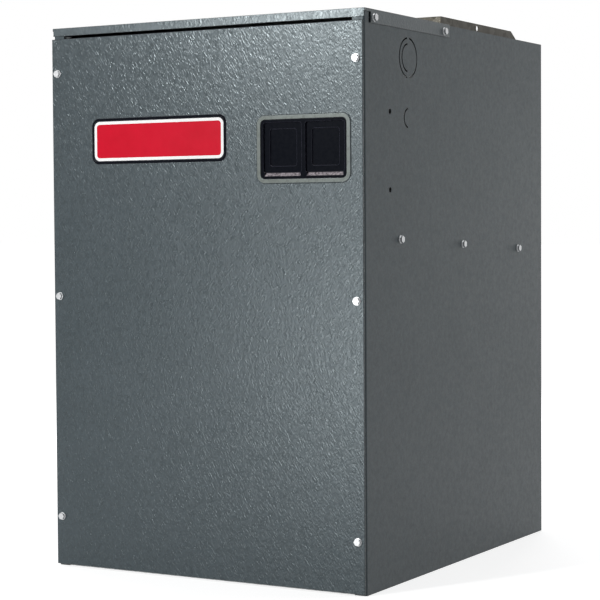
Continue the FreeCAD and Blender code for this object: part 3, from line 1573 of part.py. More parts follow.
def harness_points():
    """Corners of the harness route, from the motor to the board."""
    eyelet_x, eyelet_y = (measure.value for measure in deck_eyelet_point())
    start_x = (SHELL_END + d.harness_exit).value
    start_z = (AXIS_Z + d.motor_r).value
    lift = start_z + d.harness_lift.value
    board_x = (BOARD_X + d.board_w / 2).value - d.standoff_in.value * 2
    board_y = (Y_WALL - d.standoff_l - d.board_t).value
    level = (BOARD_Z - d.board_h / 2 - d.harness_dip).value
    board_low = (BOARD_Z - d.board_h / 2 + d.standoff_in * 2).value
    hang = board_y - d.harness_bend.value * 2
    return [
        Vector(start_x, AXIS_Y.value, start_z),
        Vector(start_x, AXIS_Y.value, lift),
        Vector(eyelet_x, eyelet_y, lift),
        Vector(eyelet_x, eyelet_y, level),
        Vector(board_x, hang, level),
        Vector(board_x, hang, board_low),
        Vector(board_x, board_y, board_low),
    ]


def motor_harness():
    item = doc.addObject("Part::Feature", "motor_harness")
    item.Shape = pipe(rounded_route(harness_points(), d.harness_bend.value), d.harness_r.value)
    keep("motor_harness", item)


def deck_eyelet():
    """Rubber grommet in the deck, round the harness."""
    x, y = deck_eyelet_point()
    low = d.deck_z - d.eyelet_t
    tall = d.deck_t + d.eyelet_t * 2
    waist = rod("eyelet_waist", "+Z", (x, y, low), d.eyelet_r, tall)
    brims = [rod("eyelet_low", "+Z", (x, y, low), d.eyelet_r + d.eyelet_lip, d.eyelet_t),
             rod("eyelet_high", "+Z", (x, y, DECK_TOP), d.eyelet_r + d.eyelet_lip, d.eyelet_t)]
    bore = rod("eyelet_bore", "+Z", (x, y, low - d.over), d.harness_r + d.harness_play, tall + d.over * 2)
    keep("deck_eyelet", cut("deck_eyelet", fused("eyelet_solid", [waist, *brims]), [bore]))


def build():
    for make in (
        cabinet_wrapper, base_frame, top_cover, discharge_frame, cabinet_screws,
        access_door, door_screws, door_gasket, door_lining, name_plate, breaker_bezel, breaker_blanks,
        deck_rails, blower_deck, plenum_partition, heater_plate, side_linings, back_lining,
        blower_housing, blower_wheel, wheel_hub, motor, motor_mount, mount_hardware,
        run_capacitor, capacitor_strap, transformer, relay_board, terminal_strip,
        capacitor_tabs, control_leads, motor_harness, deck_eyelet,
    ):
        make()
    doc.recompute()


def check():
    """Stop if any object failed or any piece is not made of valid solids."""
    for item in doc.Objects:
        if "Invalid" in item.State or "Error" in item.State:
            raise RuntimeError(f"{item.Name} failed: {item.State}")
    for label, item in parts.items():
        if not item.Shape.isValid() or not item.Shape.Solids:
            raise RuntimeError(f"{label} is not a valid solid")


def export():
    os.makedirs("parts", exist_ok=True)
    for label, item in parts.items():
        item.Shape.exportStep(f"parts/{label}.step")


build()
check()
export()
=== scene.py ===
import json
from math import cos, radians, sin

import bmesh
import bpy
from mathutils import Matrix, Vector, noise


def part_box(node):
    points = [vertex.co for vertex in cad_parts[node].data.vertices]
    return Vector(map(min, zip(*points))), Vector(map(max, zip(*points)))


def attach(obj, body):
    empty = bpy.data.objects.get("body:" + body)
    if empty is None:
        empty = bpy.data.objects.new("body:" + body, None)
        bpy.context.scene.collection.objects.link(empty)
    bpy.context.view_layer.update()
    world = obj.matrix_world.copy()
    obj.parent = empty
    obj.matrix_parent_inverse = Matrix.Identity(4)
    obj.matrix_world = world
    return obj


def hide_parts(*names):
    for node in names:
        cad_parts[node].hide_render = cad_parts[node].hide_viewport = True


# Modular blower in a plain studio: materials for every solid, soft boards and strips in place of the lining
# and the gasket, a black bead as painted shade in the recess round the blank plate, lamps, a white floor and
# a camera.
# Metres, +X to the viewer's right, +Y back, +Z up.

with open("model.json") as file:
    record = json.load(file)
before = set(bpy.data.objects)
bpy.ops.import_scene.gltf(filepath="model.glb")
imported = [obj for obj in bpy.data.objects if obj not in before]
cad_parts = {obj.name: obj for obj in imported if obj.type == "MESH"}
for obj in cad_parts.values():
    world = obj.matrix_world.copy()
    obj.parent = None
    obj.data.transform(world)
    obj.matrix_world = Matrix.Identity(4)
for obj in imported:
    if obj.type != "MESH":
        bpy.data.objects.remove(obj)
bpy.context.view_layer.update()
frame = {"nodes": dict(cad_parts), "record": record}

MM = 0.001
PHOTO_PIXELS = 600
SENSOR_MM = 36
WELD = 1e-6

# Distance between the bands of Blender's wave texture at scale 1.
WAVE_PERIOD = 0.314

# Range that most of a noise texture keeps to.
NOISE_LOW, NOISE_HIGH = 0.3, 0.7

# Places of the colour sockets on Blender's mix node.
MIX_SHARE, MIX_FIRST, MIX_SECOND, MIX_RESULT = 0, 6, 7, 2

PAINT_DARK = (0.020, 0.030, 0.036, 1)
PAINT_LIGHT = (0.026, 0.037, 0.044, 1)
PAINT_GLOSS = (0.86, 0.97, 1.0, 1)
# Painted highlight on the raised bead round the door's window.
RIM_HIGHLIGHT = (0.105, 0.115, 0.10, 1)
SOFT_BLACK = (0.002, 0.003, 0.006, 1)
# Painted highlight along the edges of black plastic.
EDGE_HIGHLIGHT_BLACK = (0.062, 0.063, 0.088, 1)
# Painted highlight on faces of black plastic that look up.
SILL_HIGHLIGHT = (0.50, 0.45, 0.48, 1)


class Shader:
    """A node material with a Principled surface and short calls that add to it."""

    def __init__(self, name, **constants):
        self.material = bpy.data.materials.new(name)
        self.material.use_nodes = True
        self.nodes = self.material.node_tree.nodes
        self.links = self.material.node_tree.links
        self.skin = self.nodes["Principled BSDF"]
        self.place = self.add("ShaderNodeTexCoord").outputs["Object"]
        self.surface(**constants)

    def add(self, kind, sockets=None, **settings):
        """A node whose sockets take plain values or other nodes' outputs."""
        node = self.nodes.new(kind)
        for key, value in settings.items():
            setattr(node, key, value)
        for key, value in (sockets or {}).items():
            self.feed(node.inputs[key], value)
        return node

    def feed(self, socket, value):
        """Set a socket to a plain value, or link another node's output to it."""
        if isinstance(value, bpy.types.NodeSocket):
            self.links.new(value, socket)
        else:
            socket.default_value = value

    def surface(self, **values):
        """Feed sockets of the Principled surface, with an underscore for each space in a name."""
        for name, value in values.items():
            self.feed(self.skin.inputs[name.replace("_", " ")], value)

    def stretched(self, stretch, lean):
        """Object coordinates, leant over about the Y axis and drawn out along some axes."""
        turn = {"Vector": self.place, "Angle": lean}
        turned = self.add("ShaderNodeVectorRotate", turn, rotation_type="Y_AXIS").outputs["Vector"]
        return self.add("ShaderNodeMapping", {"Vector": turned, "Scale": stretch}).outputs["Vector"]

    def noise(self, size, detail=2.0, distortion=0.0, stretch=(1, 1, 1), lean=0.0):
        """Cloudy values from 0 to 1 with blotches of about the given size."""
        sockets = {
            "Vector": self.stretched(stretch, lean),
            "Scale": 1 / size,
            "Detail": detail,
            "Distortion": distortion,
        }
        return self.add("ShaderNodeTexNoise", sockets).outputs["Fac"]

    def cells(self, size, output="Distance"):
        """Cells of about the given size."""
        sockets = {"Vector": self.place, "Scale": 1 / size}
        return self.add("ShaderNodeTexVoronoi", sockets).outputs[output]

    def bands(self, size, axis, distortion):
        """Parallel bands across an axis, one per given size."""
        sockets = {
            "Vector": self.place,
            "Scale": WAVE_PERIOD / size,
            "Distortion": distortion,
            "Detail": 1.0,
        }
        return self.add("ShaderNodeTexWave", sockets, bands_direction=axis).outputs["Fac"]

    def ramp(self, value, start, end):
        """Colours or greys along a value, between two stops of (place, colour or grey)."""
        node = self.add("ShaderNodeValToRGB", {"Fac": value})
        for element, (place, tone) in zip(node.color_ramp.elements, (start, end)):
            element.position = place
            element.color = tone if isinstance(tone, tuple) else (tone, tone, tone, 1)
        return node.outputs["Color"]

    def over_noise(self, value, low, high):
        """Colours or greys from one to the other over the range of a noise."""
        return self.ramp(value, (NOISE_LOW, low), (NOISE_HIGH, high))

    def math(self, operation, first, second=0.0):
        """The result of a sum or comparison of two values."""
        node = self.add("ShaderNodeMath", operation=operation)
        self.feed(node.inputs[0], first)
        self.feed(node.inputs[1], second)
        return node.outputs["Value"]

    def mix(self, share, first, second, blend="MIX"):
        """One colour blended into another by a share."""
        node = self.add("ShaderNodeMix", data_type="RGBA", blend_type=blend)
        for index, value in ((MIX_SHARE, share), (MIX_FIRST, first), (MIX_SECOND, second)):
            self.feed(node.inputs[index], value)
        return node.outputs[MIX_RESULT]

    def bump(self, height, strength, depth, under=None):
        """A normal that follows a height, in metres, over an earlier normal."""
        sockets = {"Height": height, "Strength": strength, "Distance": depth}
        if under:
            sockets["Normal"] = under
        return self.add("ShaderNodeBump", sockets).outputs["Normal"]

    def soft_edge(self, radius):
        """A normal that rounds sharp folds and cut edges."""
        return self.add("ShaderNodeBevel", {"Radius": radius}, samples=6).outputs["Normal"]

    def edge_tone(self, radius, dark):
        """A grey that falls from 1 on open faces to a darker value along folds and cut edges."""
        flat = self.add("ShaderNodeNewGeometry").outputs["Normal"]
        turn = self.add("ShaderNodeVectorMath", operation="DOT_PRODUCT")
        self.feed(turn.inputs[0], flat)
        self.feed(turn.inputs[1], self.soft_edge(radius))
        folded, level = 0.80, 0.985
        return self.ramp(turn.outputs["Value"], (folded, dark), (level, 1.0))

    def axis(self, name):
        """One of the object coordinates."""
        return self.add("ShaderNodeSeparateXYZ", {"Vector": self.place}).outputs[name]

    def past_core(self, low, high, inset):
        """Distance in the XZ plane from the core of a box, which lies the inset inside its edges."""
        middle, half = (low + high) / 2, (high - low) / 2
        squares = []
        for name, centre, size in (("X", middle.x, half.x), ("Z", middle.z, half.z)):
            away = self.math("ABSOLUTE", self.math("SUBTRACT", self.axis(name), centre))
            past = self.math("MAXIMUM", self.math("SUBTRACT", away, size - inset), 0.0)
            squares.append(self.math("POWER", past, 2.0))
        return self.math("SQRT", self.math("ADD", *squares))


def shades(tone, *shares):
    """A colour at several brightnesses."""
    return [tuple(part * share for part in tone) + (1,) for share in shares]


def grain_height(shader, size):
    """Smooth ridges that lean both ways and cross each other, as on embossed sheet."""
    ridges = {"detail": 0.0, "distortion": 0.4, "stretch": (1, 1, 0.31)}
    lean_left, lean_right = -0.75, 0.55
    left = shader.noise(size, lean=lean_left, **ridges)
    right = shader.noise(size, lean=lean_right, **ridges)
    return shader.math("MAXIMUM", left, right)


def window_rim(shader):
    """1 on the raised bead round the door's window, where a highlight is painted, else 0."""
    low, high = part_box("breaker_bezel")
    lip, corner, bead = 2.7 * MM, 6.0 * MM, 4.5 * MM
    distance = shader.past_core(low, high, lip + corner)
    return shader.math("LESS_THAN", distance, corner + bead)


def leant_back(shader, lean, under):
    """A normal for front faces that were bent a little past square, over an earlier normal."""
    facing = shader.add("ShaderNodeNewGeometry").outputs["Normal"]
    depth = shader.add("ShaderNodeSeparateXYZ", {"Vector": facing}).outputs["Y"]
    facing_front = -0.5
    front = shader.math("LESS_THAN", depth, facing_front)
    fall = shader.math("MULTIPLY", shader.axis("Z"), -lean)
    return shader.bump(shader.math("MULTIPLY", fall, front), 1.0, 1.0, under)


def paint(name, grain, rough, gloss, lean=0.0, bead=None):
    """Dark glossy paint on embossed steel, with flecks, painted shade at folds and a painted highlight on a
    bead where one is given.
    """
    weave, fold_shade_radius = 1.65 * MM, 2.6 * MM
    shader = Shader(name, Specular_IOR_Level=gloss, Specular_Tint=PAINT_GLOSS)
    cloud = shader.noise(60 * MM, detail=3.0)
    speck = shader.noise(2.4 * MM, detail=1.0)
    tone = shader.over_noise(cloud, PAINT_DARK, PAINT_LIGHT)
    tint = shader.over_noise(speck, 0.62, 1.1)
    flecked = shader.mix(1.0, tone, tint, "MULTIPLY")
    # Painted shade: the colour darkens along folds and cut edges, where bends and gaps between sheets fall
    # into shadow.
    tone = shader.mix(1.0, flecked, shader.edge_tone(fold_shade_radius, 0.25), "MULTIPLY")
    height = grain_height(shader, weave)
    if bead:
        mask = bead(shader)
        # Painted highlight: the bead is paler, as if it caught the light, and its grain is taken away.
        tone = shader.mix(mask, tone, RIM_HIGHLIGHT)
        height = shader.math("MULTIPLY", height, shader.math("SUBTRACT", 1.0, mask))
    shader.surface(Base_Color=tone)
    shader.surface(Roughness=shader.over_noise(shader.noise(7 * MM), rough - 0.04, rough + 0.05))
    normal = shader.bump(shader.noise(1.6 * MM), 0.10, 0.15 * MM, shader.soft_edge(0.8 * MM))
    if lean:
        normal = leant_back(shader, lean, normal)
    shader.surface(Normal=shader.bump(height, grain, 1.0 * MM, normal))
    return shader.material


def galvanised(name, tone, rough):
    """Zinc-coated sheet with spangle."""
    shader = Shader(name, Metallic=1.0)
    spangle = shader.cells(9 * MM, output="Color")
    value = shader.add("ShaderNodeSeparateColor", {"Color": spangle}).outputs["Red"]
    low, high = shades(tone, 0.82, 1.0)
    shader.surface(Base_Color=shader.ramp(value, (0.0, low), (1.0, high)))
    shader.surface(Roughness=shader.ramp(value, (0.0, rough + 0.12), (1.0, rough)))
    edge = shader.soft_edge(0.5 * MM)
    shader.surface(Normal=shader.bump(shader.noise(30 * MM, detail=4.0), 0.08, 1.5 * MM, edge))
    return shader.material


def bright_metal(name, tone, rough, grain=0.4 * MM):
    """Plated or machined metal with fine marks."""
    shader = Shader(name, Metallic=1.0)
    marks = shader.noise(grain, detail=3.0)
    low, high = shades(tone, 0.88, 1.0)
    shader.surface(Base_Color=shader.over_noise(marks, low, high))
    shader.surface(Roughness=shader.over_noise(shader.noise(3 * MM), rough, rough + 0.1))
    shader.surface(Normal=shader.bump(marks, 0.05, 0.05 * MM, shader.soft_edge(0.35 * MM)))
    return shader.material


def plastic(name, tone, rough):
    """Moulded plastic with a fine grain."""
    shader = Shader(name)
    low, high = shades(tone, 0.85, 1.1)
    shader.surface(Base_Color=shader.over_noise(shader.noise(12 * MM, detail=3.0), low, high))
    shader.surface(Roughness=shader.over_noise(shader.noise(4 * MM), rough - 0.04, rough + 0.05))
    shader.surface(Normal=shader.bump(shader.noise(0.7 * MM), 0.08, 0.08 * MM, shader.soft_edge(0.6 * MM)))
    return shader.material


def rubber(name, tone):
    """Dull rubber or foam with fine pores."""
    shader = Shader(name, Specular_IOR_Level=0.3)
    pores = shader.cells(1.1 * MM)
    low, high = shades(tone, 0.6, 1.15)
    shader.surface(Base_Color=shader.ramp(pores, (0.1, low), (0.6, high)))
    shader.surface(Roughness=shader.over_noise(shader.noise(5 * MM), 0.72, 0.88))
    shader.surface(Normal=shader.bump(pores, 0.3, 0.25 * MM))
    return shader.material


def motor_paint():
    """Black oven enamel with orange peel."""
    shader = Shader("motor_paint")
    shader.surface(Base_Color=shader.over_noise(shader.noise(20 * MM), 0.012, 0.020))
    shader.surface(Roughness=shader.over_noise(shader.noise(6 * MM), 0.30, 0.40))
    shader.surface(Normal=shader.bump(shader.noise(2.2 * MM), 0.15, 0.2 * MM, shader.soft_edge(0.8 * MM)))
    return shader.material


def laminated(name, axis):
    """Stacked iron laminations under varnish, with their edges across an axis."""
    shader = Shader(name, Metallic=0.7)
    layers = shader.bands(0.65 * MM, axis, distortion=0.3)
    gap, edge = (0.05, 0.047, 0.045, 1), (0.20, 0.19, 0.18, 1)
    shader.surface(Base_Color=shader.ramp(layers, (0.1, gap), (0.8, edge)))
    shader.surface(Roughness=shader.over_noise(shader.noise(8 * MM), 0.38, 0.55))
    shader.surface(Normal=shader.bump(layers, 0.3, 0.15 * MM))
    return shader.material


def copper_winding():
    """Enamelled wire bundles, laced and varnished."""
    shader = Shader("copper_winding", Metallic=0.85)
    strands = shader.noise(1.2 * MM, distortion=0.5, stretch=(1.0, 0.12, 0.12))
    between, wire = (0.20, 0.06, 0.02, 1), (0.72, 0.32, 0.15, 1)
    shader.surface(Base_Color=shader.over_noise(strands, between, wire))
    shader.surface(Roughness=shader.over_noise(strands, 0.45, 0.28))
    shader.surface(Normal=shader.bump(strands, 0.6, 0.5 * MM))
    return shader.material


def wrapped_coil():
    """Yellow tape wound over a transformer coil."""
    shader = Shader("wrapped_coil")
    turns = shader.bands(5 * MM, "Z", distortion=0.6)
    lap, tape = (0.42, 0.25, 0.03, 1), (0.70, 0.47, 0.08, 1)
    shader.surface(Base_Color=shader.ramp(turns, (0.05, lap), (0.3, tape)))
    shader.surface(Roughness=shader.over_noise(shader.noise(5 * MM), 0.3, 0.45))
    shader.surface(Normal=shader.bump(turns, 0.3, 0.3 * MM))
    return shader.material


def circuit_board():
    """Green solder mask with fields of straight tracks under it, level in some and upright in others."""
    shader = Shader("circuit_board", Coat_Weight=0.4)
    field, pitch, track = 7.0 * MM, 1.2 * MM, 0.35 * MM
    upright_share, bare_share = 0.5, 0.25
    grid = {0: shader.place, 1: (field, field, field)}
    snapped = shader.add("ShaderNodeVectorMath", grid, operation="SNAP")
    choice = shader.add("ShaderNodeTexWhiteNoise", {"Vector": snapped.outputs["Vector"]}).outputs["Value"]
    lines = []
    for name in "XZ":
        wave = shader.math("PINGPONG", shader.axis(name), pitch)
        lines.append(shader.math("LESS_THAN", wave, track))
    tracks = shader.mix(shader.math("GREATER_THAN", choice, upright_share), *lines)
    bare = shader.math("LESS_THAN", choice, bare_share)
    tracks = shader.math("MULTIPLY", tracks, shader.math("SUBTRACT", 1.0, bare))
    mask, over_copper = (0.012, 0.12, 0.045, 1), (0.04, 0.22, 0.09, 1)
    shader.surface(Base_Color=shader.mix(tracks, mask, over_copper))
    shader.surface(Roughness=shader.over_noise(shader.noise(10 * MM), 0.28, 0.4))
    shader.surface(Normal=shader.bump(tracks, 0.3, 0.05 * MM))
    return shader.material


def woven_sleeve():
    """Braided black sleeve."""
    shader = Shader("woven_sleeve", Specular_IOR_Level=0.4)
    braid = shader.cells(1.3 * MM)
    shader.surface(Base_Color=shader.ramp(braid, (0.1, 0.028), (0.6, 0.008)))
    shader.surface(Roughness=shader.over_noise(shader.noise(4 * MM), 0.5, 0.65))
    shader.surface(Normal=shader.bump(braid, 0.5, 0.3 * MM))
    return shader.material


def foil_facing():
    """Crinkled foil over glass wool, with the grid of its backing yarns showing through."""
    shader = Shader("foil_facing", Metallic=1.0)
    pitch, yarn = 6.5 * MM, 0.5 * MM
    dull, bright = (0.60, 0.61, 0.62, 1), (0.80, 0.81, 0.82, 1)
    yarns = 0.0
    for name in "XYZ":
        wave = shader.math("PINGPONG", shader.axis(name), pitch)
        line = shader.math("LESS_THAN", wave, yarn)
        yarns = shader.math("MAXIMUM", line, yarns)
    crinkle = shader.noise(9 * MM, detail=5.0, distortion=0.7)
    shader.surface(Base_Color=shader.over_noise(crinkle, dull, bright))
    shader.surface(Roughness=shader.over_noise(crinkle, 0.34, 0.48))
    under = shader.bump(yarns, 0.25, 0.3 * MM)
    shader.surface(Normal=shader.bump(crinkle, 0.35, 1.0 * MM, under))
    return shader.material


def glass_wool():
    """Cut edge of a yellow fibre board."""
    shader = Shader("glass_wool", Specular_IOR_Level=0.1)
    fibres = shader.noise(1.4 * MM, detail=4.0, distortion=1.5, stretch=(1, 0.3, 1))
    shade, straw = (0.42, 0.27, 0.05, 1), (0.78, 0.60, 0.22, 1)
    shader.surface(Base_Color=shader.over_noise(fibres, shade, straw))
    shader.surface(Roughness=shader.over_noise(fibres, 0.85, 0.95))
    shader.surface(Normal=shader.bump(fibres, 0.7, 0.8 * MM))
    return shader.material


def painted_sheen_plastic():
    """Black plastic with painted highlights along its edges and on the faces that look up, the latter broken
    up by specks.
    """
    shader = Shader("painted_sheen_plastic", Specular_IOR_Level=0.03)
    facing = shader.add("ShaderNodeNewGeometry").outputs["Normal"]
    upward = shader.add("ShaderNodeSeparateXYZ", {"Vector": facing}).outputs["Z"]
    too_steep, lies = 0.55, 0.70
    # Painted highlight: faces that look up are paler, broken up by specks, standing for light caught on the
    # sills.
    upward_share = shader.ramp(upward, (too_steep, 0.0), (lies, 1.0))
    # Painted highlight: paler along edges.
    edge_highlight = shader.ramp(shader.edge_tone(1.0 * MM, 0.0), (0.0, EDGE_HIGHLIGHT_BLACK), (0.8, SOFT_BLACK))
    speck = shader.ramp(shader.noise(2.5 * MM, detail=3.0), (0.35, 0.2), (0.65, 1.0))
    sill_sheen = shader.math("MULTIPLY", upward_share, speck)
    shader.surface(Base_Color=shader.mix(sill_sheen, edge_highlight, SILL_HIGHLIGHT))
    shader.surface(Roughness=shader.over_noise(shader.noise(4 * MM), 0.24, 0.33))
    shader.surface(Normal=shader.bump(shader.noise(0.7 * MM), 0.08, 0.08 * MM, shader.soft_edge(0.6 * MM)))
    return shader.material


def plate_enamel():
    """White plate with a dark outline of painted shade and a bare red field inside a plain border."""
    low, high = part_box("name_plate")
    corner, outline, border = 9.0 * MM, 1.2 * MM, 3.6 * MM
    shader = Shader("plate_enamel", Specular_IOR_Level=0.1)
    distance = shader.past_core(low, high, corner)
    # Painted shade: a dark band round the plate's edge, where the recess round it lies in shadow.
    edge = shader.math("GREATER_THAN", distance, corner - outline)
    field = shader.math("LESS_THAN", distance, corner - outline - border)
    cloud = shader.noise(25 * MM)
    red = shader.over_noise(cloud, (0.54, 0.003, 0.019, 1), (0.59, 0.004, 0.023, 1))
    white = shader.over_noise(cloud, 0.86, 0.91)
    shader.surface(Base_Color=shader.mix(edge, shader.mix(field, white, red), SOFT_BLACK))
    shader.surface(Roughness=shader.over_noise(shader.noise(5 * MM), 0.30, 0.38))
    shader.surface(Normal=shader.soft_edge(0.4 * MM))
    return shader.material


def islands(node):
    """Lowest and highest corners of each separate solid in a node, from the lowest up, then from -X."""
    mesh = bmesh.new()
    mesh.from_mesh(frame["nodes"][node].data)
    bmesh.ops.remove_doubles(mesh, verts=mesh.verts, dist=WELD)
    left = set(mesh.verts)
    boxes = []
    while left:
        newest = [left.pop()]
        found = list(newest)
        while newest:
            near = {other for vert in newest for edge in vert.link_edges for other in edge.verts} & left
            left -= near
            found.extend(near)
            newest = list(near)
        low = Vector([min(vert.co[axis] for vert in found) for axis in range(3)])
        high = Vector([max(vert.co[axis] for vert in found) for axis in range(3)])
        boxes.append((low, high))
    mesh.free()
    return sorted(boxes, key=lambda box: (box[0].z, box[0].x))


def edge_places(length, step, roll):
    """Places along a side, with extra ones near its two ends for the rolled edge."""
    count = max(int(length / step), 4)
    rim = [0.0, 0.15 * roll, 0.5 * roll, roll]
    inner = [roll + (length - 2 * roll) * index / count for index in range(1, count)]
    return rim + inner + [length - place for place in reversed(rim)]


def rim_indices(last_u, last_v):
    """Indices of the points round the rim of a grid, in order."""
    loop = [(i, 0) for i in range(last_u)]
    loop += [(last_u, j) for j in range(last_v)]
    loop += [(i, last_v) for i in range(last_u, 0, -1)]
    loop += [(0, j) for j in range(last_v, 0, -1)]
    return loop


def close_back(mesh, rim, foot):
    """Walls from a rim to its foot, and one face across the foot."""
    for index in range(len(rim)):
        after = (index + 1) % len(rim)
        mesh.faces.new((rim[index], foot[index], foot[after], rim[after]))
    mesh.faces.new(list(reversed(foot)))


def soft_board(name, box, facing, body, skins, roll=3.5 * MM, sag=0.7 * MM):
    """A padded board that fills a box, with rolled edges and an uneven face towards a signed axis.

    The first skin is on the face and the second on the cut edges and the back."""
    low, high = box
    axis, sign = facing
    across, along = [index for index in range(3) if index != axis]
    wide, tall = high[across] - low[across], high[along] - low[along]
    thick = high[axis] - low[axis]
    step, waves_per_metre = 14 * MM, 18.0
    mesh = bmesh.new()

    def lift(u, v):
        """Height of the face: full in the middle, rolled off at the edges, a little uneven."""
        inset = min(u, wide - u, v, tall - v)
        fall = max(roll - inset, 0.0) / roll
        uneven = noise.noise(Vector((u, v, low[axis])) * waves_per_metre) * 0.5 + 0.5
        return thick - sag * uneven - roll * (1 - (1 - fall * fall) ** 0.5)

    def point(u, v, height):
        """A new point of the mesh, at a height above the board's back."""
        spot = Vector((0.0, 0.0, 0.0))
        spot[across], spot[along] = low[across] + u, low[along] + v
        spot[axis] = low[axis] + height if sign > 0 else high[axis] - height
        return mesh.verts.new(spot)

    us, vs = edge_places(wide, step, roll), edge_places(tall, step, roll)
    face = [[point(u, v, lift(u, v)) for v in vs] for u in us]
    for i in range(len(us) - 1):
        for j in range(len(vs) - 1):
            mesh.faces.new((face[i][j], face[i + 1][j], face[i + 1][j + 1], face[i][j + 1]))
    top_faces = set(mesh.faces)
    loop = rim_indices(len(us) - 1, len(vs) - 1)
    foot = [point(us[i], vs[j], 0.0) for i, j in loop]
    close_back(mesh, [face[i][j] for i, j in loop], foot)
    bmesh.ops.recalc_face_normals(mesh, faces=mesh.faces)
    for item in mesh.faces:
        item.smooth = item in top_faces
        item.material_index = 0 if item in top_faces else 1
    return finished(name, mesh, body, skins)


def finished(name, mesh, body, skins):
    """A piece made from a mesh, riding on a body."""
    data = bpy.data.meshes.new(name)
    mesh.to_mesh(data)
    mesh.free()
    piece = bpy.data.objects.new(name, data)
    bpy.context.scene.collection.objects.link(piece)
    for skin in skins:
        data.materials.append(skin)
    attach(piece, body)
    return piece


def linings(foil, wool):
    """Lining boards in place of their plain solids."""
    for node, facing, body in (
        ("lining_left", (0, 1), "cabinet"),
        ("lining_right", (0, -1), "cabinet"),
        ("lining_back", (1, -1), "cabinet"),
        ("door_lining", (1, 1), "door"),
    ):
        for index, box in enumerate(islands(node)):
            board = soft_board(f"{node}_board_{index}", box, facing, body, [foil, wool])
            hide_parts(node)


def gasket(foam):
    """Foam strips in place of the gasket's plain solids."""
    roll, sag = 0.8 * MM, 0.2 * MM
    for index, box in enumerate(islands("door_gasket")):
        strip = soft_board(f"gasket_strip_{index}", box, (1, 1), "door", [foam, foam], roll, sag)
        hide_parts("door_gasket")


def rounded_loop(mesh, box, spread, corner, y):
    """Points round a box in the XZ plane, a little outside it, with round corners."""
    low, high = box
    middle, half = (low + high) / 2, (high - low) / 2
    steps = 8
    loop = []
    for turn in range(4):
        centre_x = (half.x + spread - corner) * (1 if turn in (0, 3) else -1)
        centre_z = (half.z + spread - corner) * (1 if turn in (0, 1) else -1)
        for step in range(steps + 1):
            angle = radians(90) * (turn + step / steps)
            x = middle.x + centre_x + corner * cos(angle)
            z = middle.z + centre_z + corner * sin(angle)
            loop.append(mesh.verts.new((x, y, z)))
    return loop


def plate_recess_shade(skin):
    """Black bead that fills the door's recess round the plate, as painted shade in the recess."""
    low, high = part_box("name_plate")
    corner, inner, outer = 7.0 * MM, 0.1 * MM, 2.4 * MM
    shoulder, crown = low.y + 0.6 * MM, low.y + 0.3 * MM
    profile = (
        (inner, high.y),
        (inner, shoulder),
        ((inner + outer) / 2, crown),
        (outer, shoulder),
        (outer, high.y),
    )
    mesh = bmesh.new()
    loops = [rounded_loop(mesh, (low, high), spread, corner + spread, y) for spread, y in profile]
    for first, second in zip(loops, loops[1:] + loops[:1]):
        for index in range(len(first)):
            after = (index + 1) % len(first)
            mesh.faces.new((first[index], first[after], second[after], second[index]))
    bmesh.ops.recalc_face_normals(mesh, faces=mesh.faces)
    bead = finished("plate_recess_shade", mesh, "door", [skin])


def dress(materials):
    """Give every solid that shows the material of its slot or its own."""
    slots = {item["node"]: item["material_slot"] for item in frame["record"]["subparts"]}
    for node, item in frame["nodes"].items():
        skin = materials.get(node) or materials[slots[node]]
        item.data.materials.clear()
        item.data.materials.append(skin)


def make_materials():
    """The material of each slot, and of the nodes that look different from their slot."""
    return {
        "cabinet_paint": paint("wrapper_paint", grain=0.05, rough=0.42, gloss=0.45),
        "access_door": paint("door_paint", grain=0.33, rough=0.285, gloss=0.60, bead=window_rim),
        "top_cover": paint("cover_paint", grain=0.30, rough=0.32, gloss=0.68, lean=0.06),
        "galvanised_sheet": galvanised("galvanised_sheet", (0.62, 0.63, 0.63), 0.70),
        # Painted shade: the collar's zinc has a near black-brown tone that stands for the dark surroundings
        # its sides reflect.
        "discharge_frame": galvanised("collar_sheet", (0.066, 0.062, 0.052), 0.45),
        "zinc_fastener": bright_metal("zinc_fastener", (0.52, 0.53, 0.54), 0.26),
        "wheel_steel": galvanised("wheel_steel", (0.52, 0.53, 0.54), 0.60),
        "bright_steel": bright_metal("bright_steel", (0.70, 0.70, 0.69), 0.18),
        "plate_enamel": plate_enamel(),
        "black_plastic": painted_sheen_plastic(),
        "lining_board": glass_wool(),
        "foam_gasket": rubber("foam_gasket", (0.03, 0.03, 0.032)),
        "black_rubber": rubber("black_rubber", (0.022, 0.022, 0.022)),
        "motor_paint": motor_paint(),
        "mount_steel": bright_metal("mount_steel", (0.60, 0.60, 0.58), 0.35, grain=0.8 * MM),
        "core_iron": laminated("core_iron", "X"),
        "transformer_core": laminated("transformer_iron", "Y"),
        "copper": copper_winding(),
        "can_aluminium": bright_metal("can_aluminium", (0.82, 0.82, 0.83), 0.30),
        "tin_tabs": bright_metal("tin_tabs", (0.80, 0.78, 0.72), 0.25),
        "coil_wrap": wrapped_coil(),
        "green_board": circuit_board(),
        "white_nylon": plastic("white_nylon", (0.75, 0.74, 0.70), 0.45),
        "relay_case": plastic("relay_case", (0.016, 0.018, 0.045), 0.18),
        "lead_sleeve": woven_sleeve(),
    }


